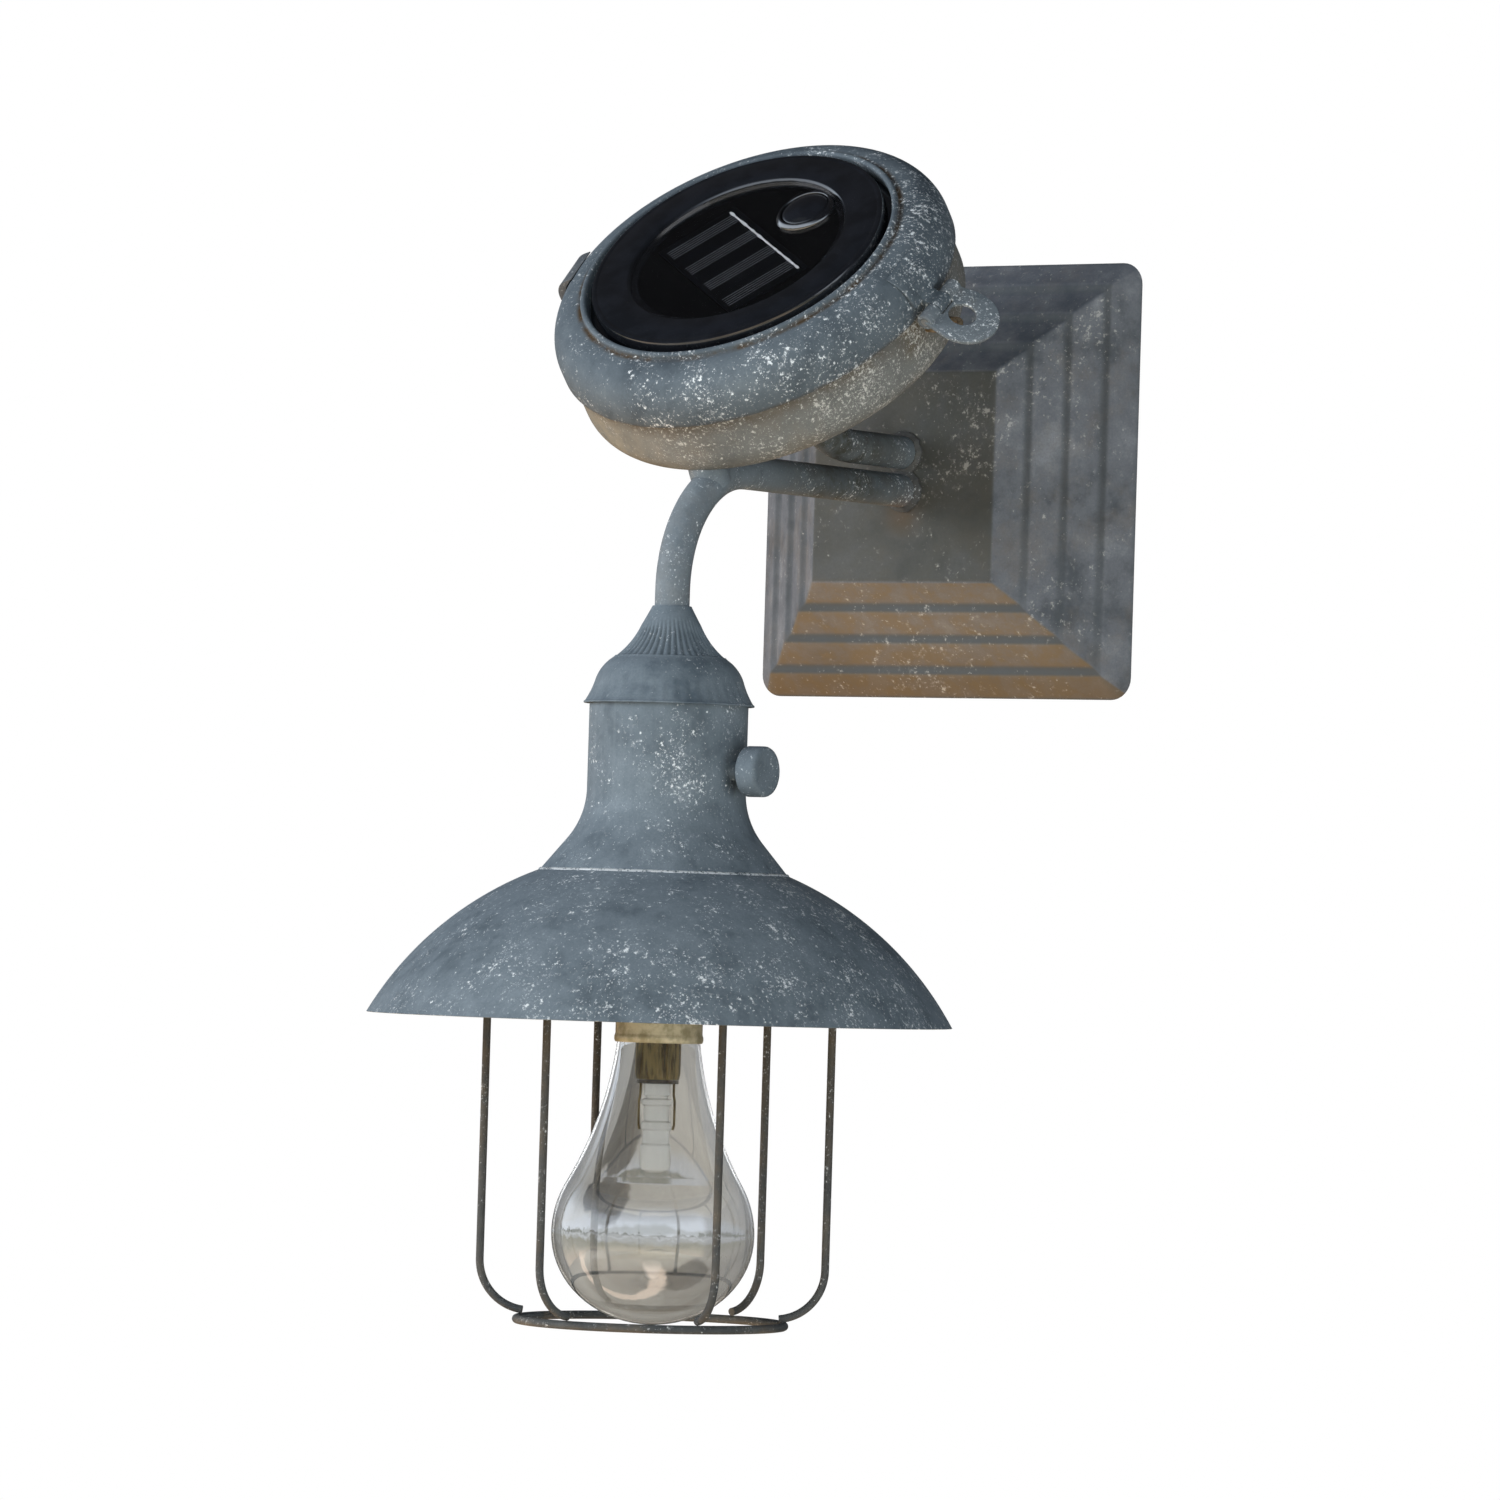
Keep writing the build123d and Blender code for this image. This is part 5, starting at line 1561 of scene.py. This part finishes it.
def guardTree():
    inputs = (("Count", "Int"), ("Turn", "Float"), ("Wire Radius", "Float"))
    inputs += (("Middle", "Vector"), ("Material", "Material"))
    tree, given = startTree("guardWires", inputs)
    path = addNode(tree, "GeometryNodeMeshToCurve", {"Mesh": given["Geometry"]}).outputs["Curve"]
    size = {"Radius": given["Wire Radius"]}
    ring = addNode(tree, "GeometryNodeCurvePrimitiveCircle", size, {"Resolution": 20}).outputs["Curve"]
    links = {"Curve": path, "Profile Curve": ring}
    wire = addNode(tree, "GeometryNodeCurveToMesh", links, {"Fill Caps": True}).outputs["Mesh"]
    points = addNode(tree, "GeometryNodePoints", {"Count": given["Count"]}).outputs[0]
    index = addNode(tree, "GeometryNodeInputIndex").outputs[0]
    links = {0: index, 1: addMath(tree, "DIVIDE", 2 * math.pi, given["Count"]), 2: given["Turn"]}
    angle = addNode(tree, "ShaderNodeMath", links, None, {"operation": "MULTIPLY_ADD"}).outputs[0]
    spin = addNode(tree, "ShaderNodeCombineXYZ", {"Z": angle}).outputs[0]
    links = {"Points": points, "Instance": wire, "Rotation": spin}
    wires = addNode(tree, "GeometryNodeInstanceOnPoints", links).outputs["Instances"]
    return endTree(tree, wires, given["Middle"], given["Material"])


def makeGuard(look):
    bendR = look["reach"] - look["bend"]
    touch = look["bend"] + look["wire"] + look["ringWire"] + look["gap"]
    bendZ = look["ringAt"] + math.sqrt(touch ** 2 - (look["ring"] - bendR) ** 2)
    top, rows = look["top"], look["rows"]
    route = [(look["reach"], top - k * (top - bendZ) / rows) for k in range(rows)]
    route += arcPoints(bendR, bendZ, look["bend"], 0, -look["endAngle"], 18)
    seed = bpy.data.meshes.new("wireSeed")
    edges = [(k, k + 1) for k in range(len(route) - 1)]
    seed.from_pydata([(0, -r * mm, z * mm) for r, z in route], edges, [])
    mesh = grown("guardWires", guardTree(), seed, {
        "Count": look["count"],
        "Turn": math.radians(look["turn"]),
        "Wire Radius": look["wire"] * mm,
        "Middle": (0, -lampReach * mm, 0),
        "Material": wireZinc,
    })
    names = [f"cage_wire_{k}" for k in range(1, look["count"] + 1)]
    finishPiece("guardWires", mesh, wireZinc, "lamp", names, 50)
    hoop = arcPoints(look["ring"], look["ringAt"], look["ringWire"], 0, 360, 20)[:-1]
    spunPiece("guardRing", hoop, lampBase, 144, wireZinc, "lamp", ["cage_ring"], 60)


makeGuard(guardLook)


# bulb: base, glass, stem, light guide and its two prongs

bulbLook = {
    "bottom": -178.4,
    "neck": 12.5,
    "neckUp": 4.0,
    "neckSteps": 22,
    "waist": (17.4, -22.1),
    "glass": 30.5,
    "centre": -236.0,
    "low": 27.0,
    "lowStep": 5,  # degrees from one row of the bowl to the next
    "turn": 27.9,
    "skin": 0.8,
    "base": 13.4,
    "baseTop": ((0, 28.4), (9.0, 28.4)),
    "baseEdge": ((-1.2, 27.2), (-0.6, 25.0)),
    "threads": 7,
    "threadFrom": 23.5,
    "threadPitch": 2.4,
    "thread": ((-0.75, 0), (-0.3, -0.6), (-0.25, -1.2), (-0.7, -1.9)),
    "collar": ((-0.6, 6.4), (-0.35, 6.1), (-0.3, 5.6), (-0.3, 2.7), (-0.2, 2.3), (-0.04, 1.9), (0, 1.4),
               (0, 0.9), (-0.12, 0.4), (-0.3, 0.1), (-0.5, 0), (-0.85, 0), (-0.85, 26.0)),
    "stem": ((6.0, 25.0), (6.85, 25.0), (6.85, -9.4), (6.7, -9.9), (6.5, -11.0), (6.0, -11.0)),
    "guideFrom": -12.3,
    "guide": ((0, 0), (4.0, 0), (4.05, -3.4), (3.3, -3.9), (3.3, -4.4), (4.7, -4.9), (4.7, -6.2),
              (3.9, -6.8), (3.8, -11.2), (4.6, -11.8), (4.6, -13.6), (4.0, -14.2), (4.1, -18.0),
              (4.65, -18.6), (4.65, -24.6), (4.2, -26.0), (3.0, -26.7), (1.8, -26.4), (0, -25.6)),
    "prong": ((5.0, -12.25), (5.0, -15.6), (5.35, -17.6), (5.35, -24.6), (4.95, -26.2)),
    "prongSide": (0.84, 0.54, 0),
    "prongBends": (1.0, 1.0, 1.0),
    "prongWire": 0.38,
    "prongSides": 12,
    "prongEdge": 0.1,
}


def makeGlass(look):
    bottom, centre = look["bottom"], look["centre"]

    def wall(inset):
        r, mouth = look["glass"] - inset, look["neck"] - inset
        start = Vector((mouth, bottom))
        waist = Vector((look["waist"][0] - inset, bottom + look["waist"][1]))
        shoulder = arcPoints(0, centre, r, look["turn"], 0, 12)
        end = Vector(shoulder[0])
        neck = []
        for k in range(1, look["neckSteps"]):
            t = k / look["neckSteps"]
            point = start * (1 - t) * (1 - 2 * t) + waist * 4 * t * (1 - t) + end * t * (2 * t - 1)
            neck.append(tuple(point))
        low, step = look["low"] - inset, look["lowStep"]
        turns = [math.radians(a) for a in range(step, 90, step)]
        bowl = [(r * math.cos(t), centre - low * math.sin(t)) for t in turns]
        rim = [(mouth, bottom + look["neckUp"]), (mouth, bottom)]
        return [*rim, *neck, *shoulder, *bowl, (0, centre - low)]

    outline = wall(0) + wall(look["skin"])[::-1]
    spunPiece("bulbGlass", outline, lampBase, 128, bulbClear, "lamp", ["bulb_glass"], 60)


def makeBulb(look):
    makeGlass(look)
    b, r = look["bottom"], look["base"]
    outline = fromEdge(0, b, look["baseTop"]) + fromEdge(r, b, look["baseEdge"])
    for k in range(look["threads"]):
        outline += fromEdge(r, b + look["threadFrom"] - k * look["threadPitch"], look["thread"])
    outline += fromEdge(r, b, look["collar"])
    outline.append((0, outline[-1][1]))
    spunPiece("bulbBase", outline, lampBase, 96, agedBrass, "lamp", ["bulb_base"], 40)
    stem = fromEdge(0, b, look["stem"])
    spunPiece("ledStem", stem, lampBase, 72, stemBrass, "lamp", ["led_stem"], 40)
    guide = fromEdge(0, b + look["guideFrom"], look["guide"])
    spunPiece("lightGuide", guide, lampBase, 64, guideClear, "lamp", ["light_guide"], 40)
    wire = (look["prongWire"], look["prongSides"], look["prongEdge"])
    prongs = []
    for side in (-1, 1):
        across = Vector(look["prongSide"]) * side
        route = [across * out + Vector((0, -lampReach, b + up)) for out, up in look["prong"]]
        prongs.append(tubeMesh("prong", bentPath(route, look["prongBends"], 5), *wire))
    finishPiece("guideProngs", joinMeshes("guideProngs", prongs), stemBrass, "lamp", [], 50)


makeBulb(bulbLook)
print("guard and bulb made")


# nodes that keep their own shape get a finish

nodeFinish = {
    "hanger_strap": steel, "bend_saddle": armZinc, "seat_ring": steel, "module_gasket": darkRubber,
    "hinge_bracket": hingeZinc, "hinge_pin": steel, "hasp_pin": steel, "solar_window": windowClear,
    "cell_carrier": bayBlack, "solar_cell": siliconDark, "tact_switch": blackPlastic,
    "circuit_board": boardGreen, "board_screws": steel, "module_base": blackPlastic,
    "battery": batteryWrap, "battery_contacts": steel, "battery_door": blackPlastic,
    "door_screws": steel, "lead_wire": darkRubber, "lock_nut": steel, "stem_pipe": steel,
    "lamp_socket": blackPlastic, "switch_body": blackPlastic, "switch_bush": agedBrass,
    "led_board": blackPlastic,
}
for name, finish in nodeFinish.items():
    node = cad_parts[name]
    node.data.materials.clear()
    node.data.materials.append(finish)


# pale floor far below, out of the photograph's frame

floorLook = {
    "size": 1.5,
    "level": -0.9,
    "forward": 0.4,
    "dark": (0.70, 0.60, 0.47),
    "light": (0.76, 0.67, 0.54),
    "rough": 0.8,
    "grain": 6.0,
    "bump": 0.02,
}


def makeFloor(look):
    size, level = look["size"], look["level"]
    near, far = -size - look["forward"], size - look["forward"]
    corners = [(-size, near, level), (size, near, level), (size, far, level), (-size, far, level)]
    mesh = meshFrom("floor", corners, [[0, 1, 2, 3]])
    tones = (look["dark"], look["light"], look["rough"])
    mesh.materials.append(grainyMaterial("paleFloor", *tones, scale=look["grain"], bump=look["bump"]))
    floor = addObject("floor", mesh)


makeFloor(floorLook)
print("finished")
